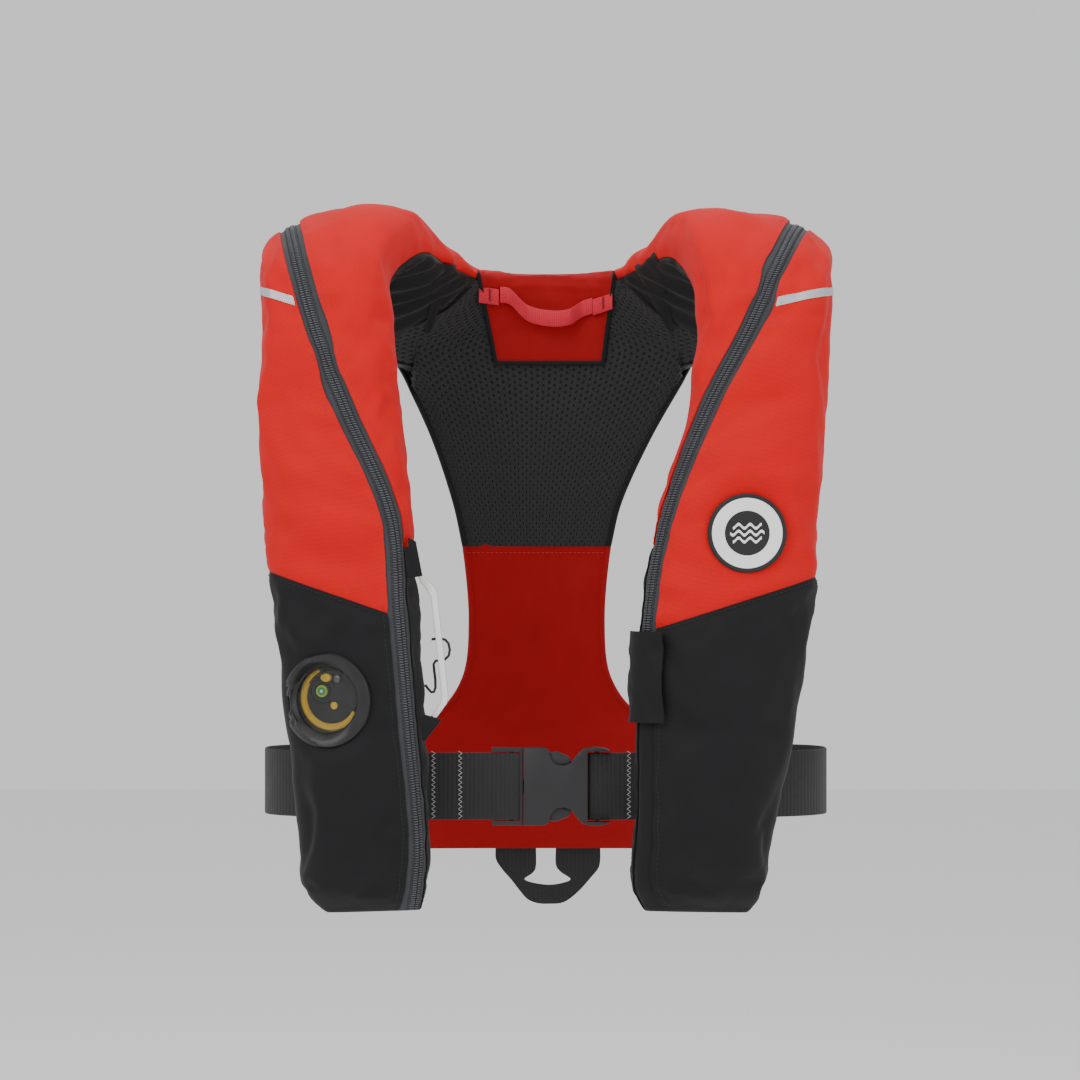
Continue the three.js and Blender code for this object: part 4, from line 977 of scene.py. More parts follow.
# %% Reflective strips
STRIP_HALF = 3.1
STRIP_STATIONS = {"right": (6, 9), "left": (LAST - 6, LAST - 9)}
STRIP_Z = {"right": lambda x: lerp(0, -10, (x + 213) / 31),
           "left": lambda x: lerp(-10, 0, (x - 170) / 45)}
for side, line in STRIP_Z.items():
    low, high = STRIP_STATIONS[side]
    strip = cover(f"{side}_reflective_strip",
                  level_line(lambda x, f=line: f(x) - STRIP_HALF, low, high),
                  level_line(lambda x, f=line: f(x) + STRIP_HALF, low, high),
                  from_angle(-5), lambda t: zip_angle(t, -9.5), REFLECTIVE,
                  ALL_FREE, cell=1.5, stand=0.45, thick=0.4)
    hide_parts(f"reflective_{side}")
    across_shoulder(strip, side)
print("reflective strips done")

# %% [markdown]
# ### The bladder
# The folded bladder is out of sight, but it is what the jacket is for. It is coated cloth in
# long pleats. Each length is a closed tube whose section is pushed in along eight folds.

# %% Bladder
BLADDER_INSET, PLEATS, PLEAT_DEEP, BAY_FRONT = 6.5, 8, 1.6, -10.0
BAYS = {"right": (-352, -128), "left": (-330, -118)}


def bladder(name, start, stop, bay):
    rows, columns = 90, 64
    t, v = np.meshgrid(np.linspace(start, stop, rows), np.linspace(0, 1, columns,
                                                                   endpoint=False),
                       indexing="ij")
    middle, across, out, half_width, half_thick, _ = section(t)
    front = half_thick[..., 0] - BLADDER_INSET
    if bay:
        z = middle[..., 2]
        clear = np.clip(-np.minimum(z - bay[0], bay[1] - z) / 25, 0, 1)
        front = np.minimum(front, lerp(BAY_FRONT, 40, clear))
    back = -(half_thick[..., 0] - BLADDER_INSET)
    centre, half = (front + back) / 2, (front - back) / 2
    narrow = (1 - np.abs(centre / half_thick[..., 0]) ** SECTION_POWER) ** (1 / SECTION_POWER)
    turn = 2 * np.pi * v
    fold = PLEAT_DEEP * np.abs(np.sin(PLEATS * turn / 2))
    w = -spower(np.cos(turn), 2 / SECTION_POWER) * (half_width[..., 0] * narrow
                                                    - BLADDER_INSET - 4 - fold)
    n = centre + spower(np.sin(turn), 2 / SECTION_POWER) * (half - fold)
    points = (middle + across * w[..., None] + out * n[..., None]).reshape(-1, 3)
    weave = np.stack([t * 25, v * 200, 0 * t], -1).reshape(-1, 3)
    return object_of(name, points, tube_faces(rows, columns), BLADDER_CLOTH, weave, sharp=70)


BLADDERS = [("right_bladder_folded", 0.95, 6.8, BAYS["right"], "right_bladder", "right"),
            ("collar_bladder_folded", 7.85, LAST - 7.85, None, "collar_bladder", None),
            ("left_bladder_folded", LAST - 0.95, LAST - 6.8, BAYS["left"], "left_bladder",
             "left")]
for name, t0, t1, bay, node, side in BLADDERS:
    piece = bladder(name, t0, t1, bay)
    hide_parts(node)
    if side:
        across_shoulder(piece, side)
    else:
        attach(piece, "jacket")
print("bladder in", len(BLADDERS), "lengths")

# %% [markdown]
# ## Window and inflator
# A clear vinyl disc is welded into the right front, so that the inflator's indicator can be
# read. Its pieces are turned and moulded, so they are made about their own axis and then set
# to face out through the window.

# %% Turned and cut helpers
TURN = math.radians(WINDOW["turn"])


def facing_out(points):
    """From the inflator's own axes, +Z out of the window, to the jacket's."""
    p = np.asarray(points, float)
    x, y, z = p[:, 0], -p[:, 2], p[:, 1]
    return np.stack([x * math.cos(TURN) + y * math.sin(TURN) + WINDOW["x"],
                     -x * math.sin(TURN) + y * math.cos(TURN) + WINDOW["y"],
                     z + WINDOW["z"]], -1)


def lathe(profile, segments=64, start=0.0, sweep=360.0):
    """Points and faces of a closed profile of (radius, height) turned about Z."""
    whole = sweep >= 360
    steps = segments if whole else segments + 1
    angles = np.radians(start + np.arange(steps) * sweep / segments)
    points = [(r * math.cos(a), r * math.sin(a), h) for a in angles for r, h in profile]
    n, faces = len(profile), []
    for i in range(segments):
        for j in range(n):
            a, b = i * n + j, i * n + (j + 1) % n
            c, d = ((i + 1) % steps) * n + (j + 1) % n, ((i + 1) % steps) * n + j
            faces.append((a, b, c, d))
    if not whole:
        faces += [tuple(range(n)), tuple(range(segments * n, segments * n + n))[::-1]]
    return points, faces


def rounded(profile, radius):
    """A profile whose corners are cut with small facets, as a moulding's edges are."""
    out = []
    p = np.array(profile, float)
    for k in range(len(p)):
        here, before, after = p[k], p[k - 1], p[(k + 1) % len(p)]
        for other in (before, after):
            step = other - here
            reach = min(radius, np.linalg.norm(step) * 0.45)
            out.append(tuple(here + step / np.linalg.norm(step) * reach))
    return out


def turned_piece(name, profile, material, place=facing_out, centre=(0, 0), corner=0.4,
                 segments=64, stretch=(1, 1), **sweep):
    points, faces = lathe(rounded(profile, corner) if corner else profile, segments, **sweep)
    p = np.array(points)
    p[:, 0] = p[:, 0] * stretch[0] + centre[0]
    p[:, 1] = p[:, 1] * stretch[1] + centre[1]
    made = object_of(name, place(p), faces, material, sharp=35)
    bm = bmesh.new()
    bm.from_mesh(made.data)
    bmesh.ops.remove_doubles(bm, verts=bm.verts, dist=TOUCHING)
    bmesh.ops.dissolve_degenerate(bm, edges=bm.edges, dist=TOUCHING)
    bm.to_mesh(made.data)
    bm.free()
    return made


print("turning helpers ready")

# %% Window
AXLE = 0.02
grid_t, grid_a = np.meshgrid(np.linspace(0.6, 5.6, 260), np.linspace(-50, 150, 300),
                             indexing="ij")
near_window = surface(grid_t.ravel(), grid_a.ravel())
near_window = near_window[near_window[:, 1] < WINDOW["y"] + 40]


def on_cloth(points, stand):
    """The points moved along Y to stand some millimetres in front of the panel."""
    spots = near_window[:, [0, 2]]
    levels = []
    for x, z in points[:, [0, 2]]:
        away = np.hypot(spots[:, 0] - x, spots[:, 1] - z)
        nearest = np.argsort(away)[:6]
        levels.append(np.average(near_window[nearest, 1], weights=1 / (away[nearest] + 0.2)))
    return np.stack([points[:, 0], np.array(levels) - stand, points[:, 2]], -1)


# Rows of the flange: radius, height over the window's plane, height over the cloth and the
# share of the cloth in the two.
FLANGE = [(23.6, -1.2, 0, 0), (24.2, 1.0, 0, 0), (25.4, 1.7, 0, 0), (28.0, 2.2, 2.4, 0.7),
          (31.0, 0, 2.6, 1), (33.8, 0, 2.2, 1), (34.9, 0, 0.5, 1), (33.8, 0, -0.8, 1),
          (29.0, -1.2, -0.6, 0.6)]
turn = np.linspace(0, 2 * math.pi, 97)[:-1]
flange_rows = []
for radius, plane, cloth, share in FLANGE:
    flat_ring = facing_out(np.stack([radius * np.cos(turn), radius * np.sin(turn),
                                     0 * turn + plane], -1))
    shaped = lerp(flat_ring, on_cloth(flat_ring, cloth), share)
    shaped[:, 1] = np.minimum(shaped[:, 1], flat_ring[:, 1] + 3.5 - cloth)
    flange_rows.append(shaped)
count = len(turn)
faces = [(i * count + k, i * count + (k + 1) % count,
          (i + 1) % len(FLANGE) * count + (k + 1) % count, (i + 1) % len(FLANGE) * count + k)
         for i in range(len(FLANGE)) for k in range(count)]
weld = object_of("window_weld", np.concatenate(flange_rows), faces, WELD_BLACK, sharp=45)
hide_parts("window_ring")
lens = turned_piece("window_clear", [(AXLE, 0.2), (14, -0.1), (24.2, -1.0), (24.2, -0.4),
                                     (14, 0.6), (AXLE, 0.9)], VINYL_CLEAR, corner=0,
                    segments=96)
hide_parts("window_lens")
for piece in (weld, lens):
    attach(piece, "right_front")
print("window radius", WINDOW["clear"], "mm")

# %% Inflator
HUB = (1.5, 2.0)
INDICATOR = (-6, 6.5)
inflator = [
    ("inflator_case", [(AXLE, -26.5), (21, -26.5), (24, -24.5), (24, -11), (20, -10.6),
                       (20, -6.2), (AXLE, -6.2)], NYLON_BLACK, dict(centre=HUB), "inflator_body",
     "inflator_plastic"),
    ("cap_ring", [(20.6, -10), (25, -10), (25, -5.6), (23.6, -4.2), (20.6, -4.2)],
     NYLON_YELLOW, dict(centre=HUB, start=115, sweep=215), "inflator_cap", "cap_plastic"),
    ("cap_lip", [(19.4, -6.6), (20.5, -6.6), (20.5, -4.6), (19.4, -4.6)], NYLON_YELLOW,
     dict(centre=HUB, start=150, sweep=180, corner=0.2), None, "cap_plastic"),
    ("face_relief", [(8.6, -6.4), (10.2, -6.4), (10.2, -5.2), (8.6, -5.2)], NYLON_BLACK,
     dict(centre=INDICATOR, corner=0.3, start=20, sweep=290), None, "inflator_plastic"),
    ("face_relief_small", [(5.4, -6.4), (6.8, -6.4), (6.8, -5.0), (5.4, -5.0)], NYLON_BLACK,
     dict(centre=INDICATOR, corner=0.3), None, "inflator_plastic"),
    ("cap_key", [(AXLE, -6.2), (3.6, -6.2), (3.6, -4.0), (2.8, -3.2), (AXLE, -3.2)],
     NYLON_YELLOW, dict(centre=(-2.5, 16.5), stretch=(1.2, 0.9), corner=0.4), "inflator_key",
     "cap_plastic"),
    ("indicator_rim", [(3.1, -6.2), (4.4, -6.2), (4.4, -4.2), (3.1, -4.2)], INDICATOR_LIME,
     dict(centre=INDICATOR, corner=0.2), None, "indicator_green"),
    ("indicator_disc", [(AXLE, -6.2), (3.2, -6.2), (3.2, -4.6), (AXLE, -4.4)], INDICATOR_GREEN,
     dict(centre=INDICATOR, corner=0), "inflator_indicator", "indicator_green"),
    ("indicator_eye", [(AXLE, -4.8), (1.3, -4.8), (1.2, -4.1), (AXLE, -4.0)], NYLON_WHITE,
     dict(centre=INDICATOR, corner=0), None, "indicator_green"),
    ("date_dot", [(AXLE, -6.2), (2.7, -6.2), (2.7, -5.2), (AXLE, -5.0)], NYLON_YELLOW,
     dict(centre=(3.6, -4.0), corner=0.2), None, "cap_plastic"),
    ("case_bolt", [(AXLE, -6.2), (3.2, -6.2), (3.2, -3.8), (2.6, -3.2), (AXLE, -3.2)],
     BOLT_STEEL, dict(centre=(6.5, 15.5), segments=6, corner=0.3), None, "cylinder_steel"),
]
for name, profile, material, options, node, slot in inflator:
    piece = turned_piece(name, profile, material, **options)
    if node:
        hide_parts(node)
    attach(piece, "right_front")
print("inflator in", len(inflator), "pieces")

CYLINDER = dict(radius=12.5, length=118.0, neck=4.5, base=(1.5, 30.85), depth=-18.0)


def up_from_inflator(points):
    """The gas cylinder's own axis runs up from the inflator, beside the window."""
    p = np.asarray(points, float)
    return facing_out(np.stack([p[:, 0] + CYLINDER["base"][0], p[:, 2] + CYLINDER["base"][1],
                                -p[:, 1] + CYLINDER["depth"]], -1))


cylinder = turned_piece("gas_bottle", [
    (AXLE, 0), (4.5, 0), (4.5, 9), (7.5, 12), (11, 16), (12.5, 22), (12.5, 109), (11.2, 114),
    (7.5, 117.5), (AXLE, 118.8)], CYLINDER_STEEL, place=up_from_inflator, corner=0.6,
    segments=48)
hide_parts("gas_cylinder")
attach(cylinder, "right_front")
print("gas cylinder", CYLINDER["length"], "mm long")

# %% [markdown]
# ## Badge
# A soft rubber disc is welded to the left front: a plain white ring round three waves.

# %% Badge
def on_badge(points):
    p = np.asarray(points, float)
    return np.stack([BADGE["x"] + p[:, 0], BADGE["y"] - p[:, 2], BADGE["z"] + p[:, 1]], -1)


def ribbon(name, line, across, up, width, thick, material):
    """A strip along a line, with its corners just rounded. Weave runs along and across it."""
    line = np.asarray(line, float)
    across = unit(np.broadcast_to(np.asarray(across, float), line.shape))
    up = unit(np.broadcast_to(np.asarray(up, float), line.shape))
    cut = thick * 0.35
    w, h = width / 2, thick / 2
    ring = [(-w, -h + cut), (-w + cut, -h), (w - cut, -h), (w, -h + cut), (w, h - cut),
            (w - cut, h), (-w + cut, h), (-w, h - cut)]
    run = run_along(line)
    points = [p + a * x + n * y for p, a, n in zip(line, across, up) for x, y in ring]
    weave = [(along, x, 0) for along in run for x, y in ring]
    return object_of(name, points, tube_faces(len(line), len(ring)), material, np.array(weave))


badge = turned_piece("badge_disc", [(AXLE, -1.2), (29, -1.2), (29, 1.2), (27.8, 2.0),
                                    (26.6, 1.5), (AXLE, 1.5)], BADGE_BLACK, place=on_badge,
                     corner=0.3, segments=96)
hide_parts("badge")
ring = turned_piece("badge_ring", [(16.4, 1.0), (25.8, 1.0), (25.8, 1.9), (16.4, 1.9)],
                    BADGE_WHITE, place=on_badge, corner=0.3, segments=96)
WAVE_HIGH, WAVE_LONG = 1.5, 8.4
waves = []
for k, (half, level) in enumerate(((10.5, 5.0), (12.5, 0.0), (10.5, -5.0))):
    x = np.linspace(-half, half, 60)
    crest = WAVE_HIGH * np.sin(x * 2 * math.pi / WAVE_LONG)
    line = on_badge(np.stack([x, level + crest, 0 * x + 1.7], -1))
    waves.append(ribbon(f"badge_wave_{k}", line, (0, 0, 1), (0, -1, 0), 2.2, 0.8, BADGE_WHITE))
for piece in (badge, ring, *waves):
    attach(piece, "left_front")
print("badge radius", BADGE["radius"], "mm")

# %% [markdown]
# ## Back and collar lining
# The back is black fabric outside and, towards the wearer, spacer mesh above and red fabric
# below, all sewn round their edge. The mesh runs up into the inside of the collar.

# %% Back
# The round of the waist, seen from above: half its width and depth, its middle and its power.
WAIST_HALF, WAIST_DEEP, WAIST_Y, WAIST_POWER = 215.5, 76, -70, 2.6


def back_curve(x, inset):
    share = np.minimum(np.abs(x) / (WAIST_HALF - inset), 0.985)
    return WAIST_Y + (WAIST_DEEP - inset) * (1 - share ** WAIST_POWER) ** (1 / WAIST_POWER)


BACK_EDGE = [(-113, 111, -46), (-107, 105, -62), (-87, 80, -106), (-71, 58, -154),
             (-63, 49, -190), (-58, 44, -248), (-64, 50, -295), (-92, 80, -326),
             (-150, 150, -345), (-166, 166, -380), (-166, 166, -425)]
EDGE_LINE = through(BACK_EDGE, np.linspace(0, len(BACK_EDGE) - 1, 400))
COLLAR_T = np.linspace(9.6, 16.4, 200)
UNDER = surface(COLLAR_T, 0 * COLLAR_T)
LINING_ANGLES = np.linspace(-176, -4, 160)
JOIN_HIGH, JOIN_LOW, MESH_INSET = -24.0, -86.0, 6.2


def collar_spot(x, z, stand):
    """The points on the collar's inner side with the given x and height."""
    shape = np.broadcast(x, z, stand).shape
    x, z, stand = (np.broadcast_to(value, shape).ravel().astype(float)
                   for value in (x, z, stand))
    t = np.interp(x, surface(COLLAR_T, 0 * COLLAR_T - 90)[:, 0], COLLAR_T)
    angle = 0 * t - 90
    for _ in range(3):
        grid_t, grid_a = np.meshgrid(t, LINING_ANGLES, indexing="ij")
        heights = surface(grid_t.ravel(), grid_a.ravel())[:, 2].reshape(grid_t.shape)
        angle = np.array([np.interp(-level, -line, LINING_ANGLES)
                          for level, line in zip(z, heights)])
        t = t + (x - surface(t, angle)[:, 0]) / 30
    return surface(t, angle, stand).reshape(*shape, 3)


def lining_spot(x, z, stand):
    """The wearer's side: the collar's inside, then a straight run down to the back's curve."""
    x, z, stand = (np.array(value, float) for value in np.broadcast_arrays(x, z, stand))
    points = collar_spot(x, np.maximum(z, JOIN_HIGH), stand)
    share = np.clip((JOIN_HIGH - z) / (JOIN_HIGH - JOIN_LOW), 0, 1)
    low = back_curve(x, MESH_INSET) - stand
    points[..., 1] = lerp(points[..., 1], low, share)
    points[..., 0] = x
    points[..., 2] = z
    return points


def back_edge(z):
    return [np.interp(-z, -EDGE_LINE[:, 2], EDGE_LINE[:, k]) for k in (0, 1)]


def under_collar(x):
    return np.interp(x, UNDER[:, 0], UNDER[:, 2]) - 1.6


def back_sheet(name, top, bottom, inset, thick, material, puff=0.0, seed=1, cell=3.0):
    """A cloth on the back's curve, from a top line to a level."""
    rows, columns = int((float(top(0.0)) - bottom) / cell) + 2, 90
    u, v = np.meshgrid(np.linspace(0, 1, rows), np.linspace(0, 1, columns), indexing="ij")
    right, left = back_edge(lerp(float(top(0.0)), bottom, u))
    x = lerp(right, left, v)
    z = lerp(top(x), bottom, u)
    face = np.stack([x, back_curve(x, inset), z], -1)
    noise_field = smooth_noise(face.reshape(-1, 3), 34, seed).reshape(u.shape)
    rim = np.clip(np.minimum(np.minimum(v, 1 - v) * 8, (1 - u) * 8), 0, 1)
    face[..., 1] -= puff * rim * (0.5 + noise_field)
    back = np.stack([x, back_curve(x, inset - thick), z], -1)
    return sheet_of(name, face, back, material), face


def flat_sheet(piece, face):
    """Prints a sheet's own size, measured along the cloth."""
    width = float(np.mean(np.linalg.norm(np.diff(face, axis=1), axis=2).sum(axis=1)))
    length = float(np.mean(np.linalg.norm(np.diff(face, axis=0), axis=2).sum(axis=0)))
    print(f"{piece.name}: {width:.0f} x {length:.0f} mm of cloth")


MESH_BOTTOM, PANEL_BOTTOM = -190, -427
outer, outer_face = back_sheet("back_cloth_outside", under_collar, PANEL_BOTTOM, 3.2, 1.1,
                               OXFORD_BLACK)
MESH_EDGE = [(-60, 67, 11), (-78, 84, -6), (-106, 106, -22), (-119, 117, -36),
             (-115, 113, -47)] + BACK_EDGE[1:5]
mesh_line = through(MESH_EDGE, np.linspace(0, len(MESH_EDGE) - 1, 72))
v = np.linspace(0, 1, 90)
mesh_x = lerp(mesh_line[:, :1], mesh_line[:, 1:2], v)
mesh_z = mesh_line[:, 2:] + 0 * v
mesh_face = lining_spot(mesh_x, mesh_z, 1.3)
mesh = sheet_of("back_spacer_mesh", mesh_face, mesh_face + (0, 2.0, 0), SPACER_MESH)
panel, panel_face = back_sheet("back_cloth_inside", lambda x: MESH_BOTTOM + 1.5 + 0 * x,
                               PANEL_BOTTOM, 6.6, 1.2, OXFORD_RED_INSIDE, 1.0, 5)
for piece, face, node, slot in ((outer, outer_face, "back_outer", "black_fabric"),
                                (mesh, mesh_face, "back_mesh", "black_mesh"),
                                (panel, panel_face, "back_panel", "dark_red_fabric")):
    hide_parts(node)
    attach(piece, "jacket")
    flat_sheet(piece, face)

BINDINGS = []
for side, column in (("right", 0), ("left", -1)):
    for part, face in (("mesh", mesh_face), ("panel", panel_face)):
        line = face[:, column] + (0, 1.0, 0)
        BINDINGS.append(ribbon(f"{side}_{part}_binding", line, (1, 0, 0), (0, -1, 0), 5.0, 4.4,
                               LINING_BLACK if part == "mesh" else OXFORD_RED_INSIDE))
seam = mesh_face[-1].copy()
seam[:, 1] -= 0.2
BINDINGS.append(stitches("mesh_seam_stitch", seam + (0, -0.6, -5), 0 * seam + (0, -1, 0),
                         STITCH, STITCH_PITCH, STITCH_HALF, THREAD_RED))
# Black tape covers the collar's lower red edge on both sides of the mesh.
TAPE_ANGLE, TAPE_SPREAD = -20, 12
for side, t0, t1 in (("right", 9.3, 12.2), ("left", 13.8, 16.7)):
    t = np.linspace(t0, t1, 60)
    low_line = surface(t, 0 * t + TAPE_ANGLE, 1.2)
    over = surface(t, 0 * t + TAPE_ANGLE + TAPE_SPREAD)
    under = surface(t, 0 * t + TAPE_ANGLE - TAPE_SPREAD)
    BINDINGS.append(ribbon(f"{side}_collar_edge_tape", low_line, over - under,
                           outwards(t, 0 * t + TAPE_ANGLE), 13.0, 1.6, LINING_BLACK))
for piece in BINDINGS:
    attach(piece, "jacket")

# %% [markdown]
# ### Neck patch and hang loop
# A red patch stiffens the collar's inside where it hangs. It is laid on the collar by finding,
# for each spot of the patch, the station and angle that have its x and its height.

# %% Neck patch
PATCH_TOP, PATCH_BOTTOM = 24.5, -46.0
PATCH_RIGHT, PATCH_LEFT = (-53, -39), (54, 45)
u, v = np.meshgrid(np.linspace(0, 1, 34), np.linspace(0, 1, 48), indexing="ij")
patch_x = lerp(lerp(PATCH_RIGHT[0], PATCH_RIGHT[1], u), lerp(PATCH_LEFT[0], PATCH_LEFT[1], u),
               v)
patch_z = lerp(PATCH_TOP, PATCH_BOTTOM, u)
rim = np.clip(np.minimum(np.minimum(u, 1 - u) * 7, np.minimum(v, 1 - v) * 9), 0, 1)
flat_points = np.stack([patch_x, 0 * patch_x, patch_z], -1).reshape(-1, 3)
fold = (1.2 * np.exp(-((patch_z - 13 - 2.5 * np.sin(v * 4)) / 2.6) ** 2)
        + 1.1 * np.exp(-((patch_z + 30 - 8 * v) / 5) ** 2) * v
        + 0.9 * smooth_noise(flat_points, 24, 9).reshape(u.shape))
patch_face = lining_spot(patch_x, patch_z, 2.6 + np.maximum(fold, -0.8) * rim)
patch_back = lining_spot(patch_x, patch_z, 1.4)
patch = sheet_of("neck_patch_cloth", patch_face, patch_back, OXFORD_RED_INSIDE)
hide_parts("neck_patch")
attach(patch, "jacket")
flat_sheet(patch, patch_face)
rim_lines = [("right", patch_face[:, 0], (1, 0, 0)), ("left", patch_face[:, -1], (1, 0, 0)),
             ("low", patch_face[-1], (0, 0, 1))]
for part, line, across in rim_lines:
    piece = ribbon(f"neck_patch_binding_{part}", line + (0, -0.5, 0), across, (0, -1, 0), 3.4,
                   1.3, LINING_BLACK)
    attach(piece, "jacket")

# The shoulder linings end in a loose satin fold on each side of the mesh.
LINING_EDGES = {"right": ((-82, 26), (-68, 27), (-95, -24), (-90, -24)),
                "left": ((68, 26), (83, 35), (97, -26), (102, -26))}
for side, (high_out, high_in, low_out, low_in) in LINING_EDGES.items():
    u, v = np.meshgrid(np.linspace(0, 1, 26), np.linspace(0, 1, 10), indexing="ij")
    corners = [np.array(c, float) for c in (high_out, high_in, low_out, low_in)]
    x, z = (lerp(lerp(corners[0][k], corners[1][k], v), lerp(corners[2][k], corners[3][k], v),
                 u) for k in (0, 1))
    puff = 2.6 + 1.8 * np.sin(math.pi * v) + 0.8 * np.sin(u * 7)
    face = lining_spot(x, z, puff)
    fold_piece = sheet_of(f"{side}_lining_fold", face, lining_spot(x, z, 1.4), LINING_BLACK)
    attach(fold_piece, "jacket")
    flat_sheet(fold_piece, face)

# %% Hang loop
HANG_WIDE, TACK_HALF = 12.6, 4.0
TAB_ENDS = [(-52, 6.5, -36.6, 4.9), (36.8, -2.9, 52, 1.5)]
loop_ends = collar_spot(np.array([-37.3, -29, 29, 37.3]), np.array([5, 2.6, -5.8, -2.8]),
                        np.array([5.6, 7.2, 7.2, 5.6]))
loop_line = through([*loop_ends[:2], (-14, -12.6, -7.5), (4, -14, -11.8), (18, -12.8, -10.6),
                     *loop_ends[2:]], np.linspace(0, 6, 90))
loop = ribbon("hang_loop_webbing", loop_line, (0, 0, 1), (0, -1, 0), HANG_WIDE, 1.5,
              WEBBING_RED)
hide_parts("hang_loop")
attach(loop, "hang_loop")


def zigzag(name, centre, low, high, wide, pitch, material, half=0.32):
    """A bar tack or zigzag seam: slanting stitches up a short line at one x and y."""
    x, y = centre
    levels = np.arange(low, high, pitch)
    starts = np.array([(x - wide / 2, y, z) for z in levels])
    ends = np.array([(x + wide / 2, y, z + pitch * 0.5) for z in levels])
    back = np.array([(x - wide / 2, y, z + pitch) for z in levels])
    return prisms(name, np.vstack([starts, ends]), np.vstack([ends, back]),
                  np.tile((0.0, -1.0, 0.0), (2 * len(levels), 1)), half, half, material)


for k, (x0, z0, x1, z1) in enumerate(TAB_ENDS):
    x, z = np.linspace(x0, x1, 12), np.linspace(z0, z1, 12)
    line = lining_spot(x, z, 6.0 + 0 * x)
    tab = ribbon(f"hang_loop_tab_{k}", line, (0, 0, 1), (0, -1, 0), HANG_WIDE, 1.8,
                 WEBBING_RED)
    middle = line[6]
    tack = zigzag(f"hang_loop_tack_{k}", (middle[0], middle[1] - 1.3), middle[2] - TACK_HALF,
                  middle[2] + TACK_HALF, 2.4, 2.4, THREAD_BLACK, 0.3)
    for piece in (tab, tack):
        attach(piece, "jacket")
print("hang loop and its tabs done")

# %% [markdown]
# ## Belt
# The belt is one length of polyester webbing round the back. In front, each end runs through
# a plastic frame, round a bar of the buckle and back on itself, where it is sewn.

# %% Belt
BELT_Z, BELT_WIDE, BELT_THICK = -369.0, 50.0, 1.8
FRONT_REACH = math.pi - math.asin((108 / 213.7) ** 1.3)


def ring_line(reach, inset, steps=160):
    angle = np.linspace(-reach, reach, steps)
    return np.stack([spower(np.sin(angle), 2 / WAIST_POWER) * (WAIST_HALF - inset),
                     WAIST_Y + spower(np.cos(angle), 2 / WAIST_POWER) * (WAIST_DEEP - inset),
                     0 * angle + BELT_Z], -1)


def sideways(line):
    """Directions square to a level line."""
    along = np.gradient(line, axis=0)
    return unit(np.stack([along[:, 1], -along[:, 0], 0 * along[:, 0]], -1))


belt_line = ring_line(FRONT_REACH, 0.9)
belt = ribbon("belt_web", belt_line, (0, 0, 1), sideways(belt_line), BELT_WIDE, BELT_THICK,
              WEBBING_BLACK)
sleeve_line = ring_line(0.62, -1.9, 50)
sleeve = ribbon("belt_tunnel", sleeve_line, (0, 0, 1), sideways(sleeve_line), 62, 1.2,
                OXFORD_BLACK)
for piece, node, slot in ((belt, "belt_webbing", "black_webbing"),
                          (sleeve, "belt_sleeve", "black_fabric")):
    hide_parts(node)
    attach(piece, "jacket")

BUCKLE_Y, TURN_RADIUS = -153.5, 2.5
STRAPS = {"right": (-130, -21.6, -92, "buckle_plug"), "left": (134, 34.6, 96, "jacket")}
SEAMS = {"right": (-84, -64), "left": (62, 80)}
for side, (far, bar, sewn, body) in STRAPS.items():
    way = 1 if side == "right" else -1
    bend = np.linspace(0, math.pi, 14)
    line = [(x, BUCKLE_Y + TURN_RADIUS) for x in np.linspace(far, bar, 40)]
    line += [(bar + way * TURN_RADIUS * math.sin(a), BUCKLE_Y + TURN_RADIUS * math.cos(a))
             for a in bend[1:-1]]
    line += [(x, BUCKLE_Y - TURN_RADIUS) for x in np.linspace(bar, sewn, 30)]
    line = np.array([(x, y, BELT_Z) for x, y in line])
    strap = ribbon(f"{side}_strap_web", line, (0, 0, 1), sideways(line), BELT_WIDE, BELT_THICK,
                   WEBBING_BLACK)
    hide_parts(f"strap_{side}")
    rows = [zigzag(f"{side}_strap_zigzag_{k}", (x, BUCKLE_Y - TURN_RADIUS - 1.05), -393, -346,
                   2.8, 3.6, THREAD_WHITE, 0.2) for k, x in enumerate(SEAMS[side])]
    for piece in (strap, *rows):
        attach(piece, body)
print("belt", round(float(run_along(belt_line)[-1])), "mm")

# %% [markdown]
# ## Mouldings and cut pieces
# The frame's plastic pieces already have their true outlines. What a mould adds is a small
# radius along every edge, where the light catches. Each piece below takes its frame solid's
# faces, merges the flat triangles and rounds the edges.

# %% Rounded pieces
def softened(name, node, material, radius, slot, body, steps=2):
    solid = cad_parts[node]
    bm = bmesh.new()
    bm.from_mesh(solid.data)
    bm.transform(solid.matrix_world)
    bmesh.ops.remove_doubles(bm, verts=bm.verts, dist=TOUCHING)
    bmesh.ops.dissolve_limit(bm, angle_limit=math.radians(1), verts=bm.verts, edges=bm.edges)
    rims = [e for e in bm.edges if len(e.link_faces) == 2 and e.calc_face_angle(0) > 0.5]
    bmesh.ops.bevel(bm, geom=rims, offset=radius * MM, segments=steps, profile=0.5,
                    affect="EDGES", clamp_overlap=True)
    bm.verts.index_update()
    points = np.array([v.co for v in bm.verts]) / MM
    faces = [[v.index for v in f.verts] for f in bm.faces]
    bm.free()
    made = object_of(name, points, faces, material, front_weave(points), sharp=40)
    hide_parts(node)
    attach(made, body)


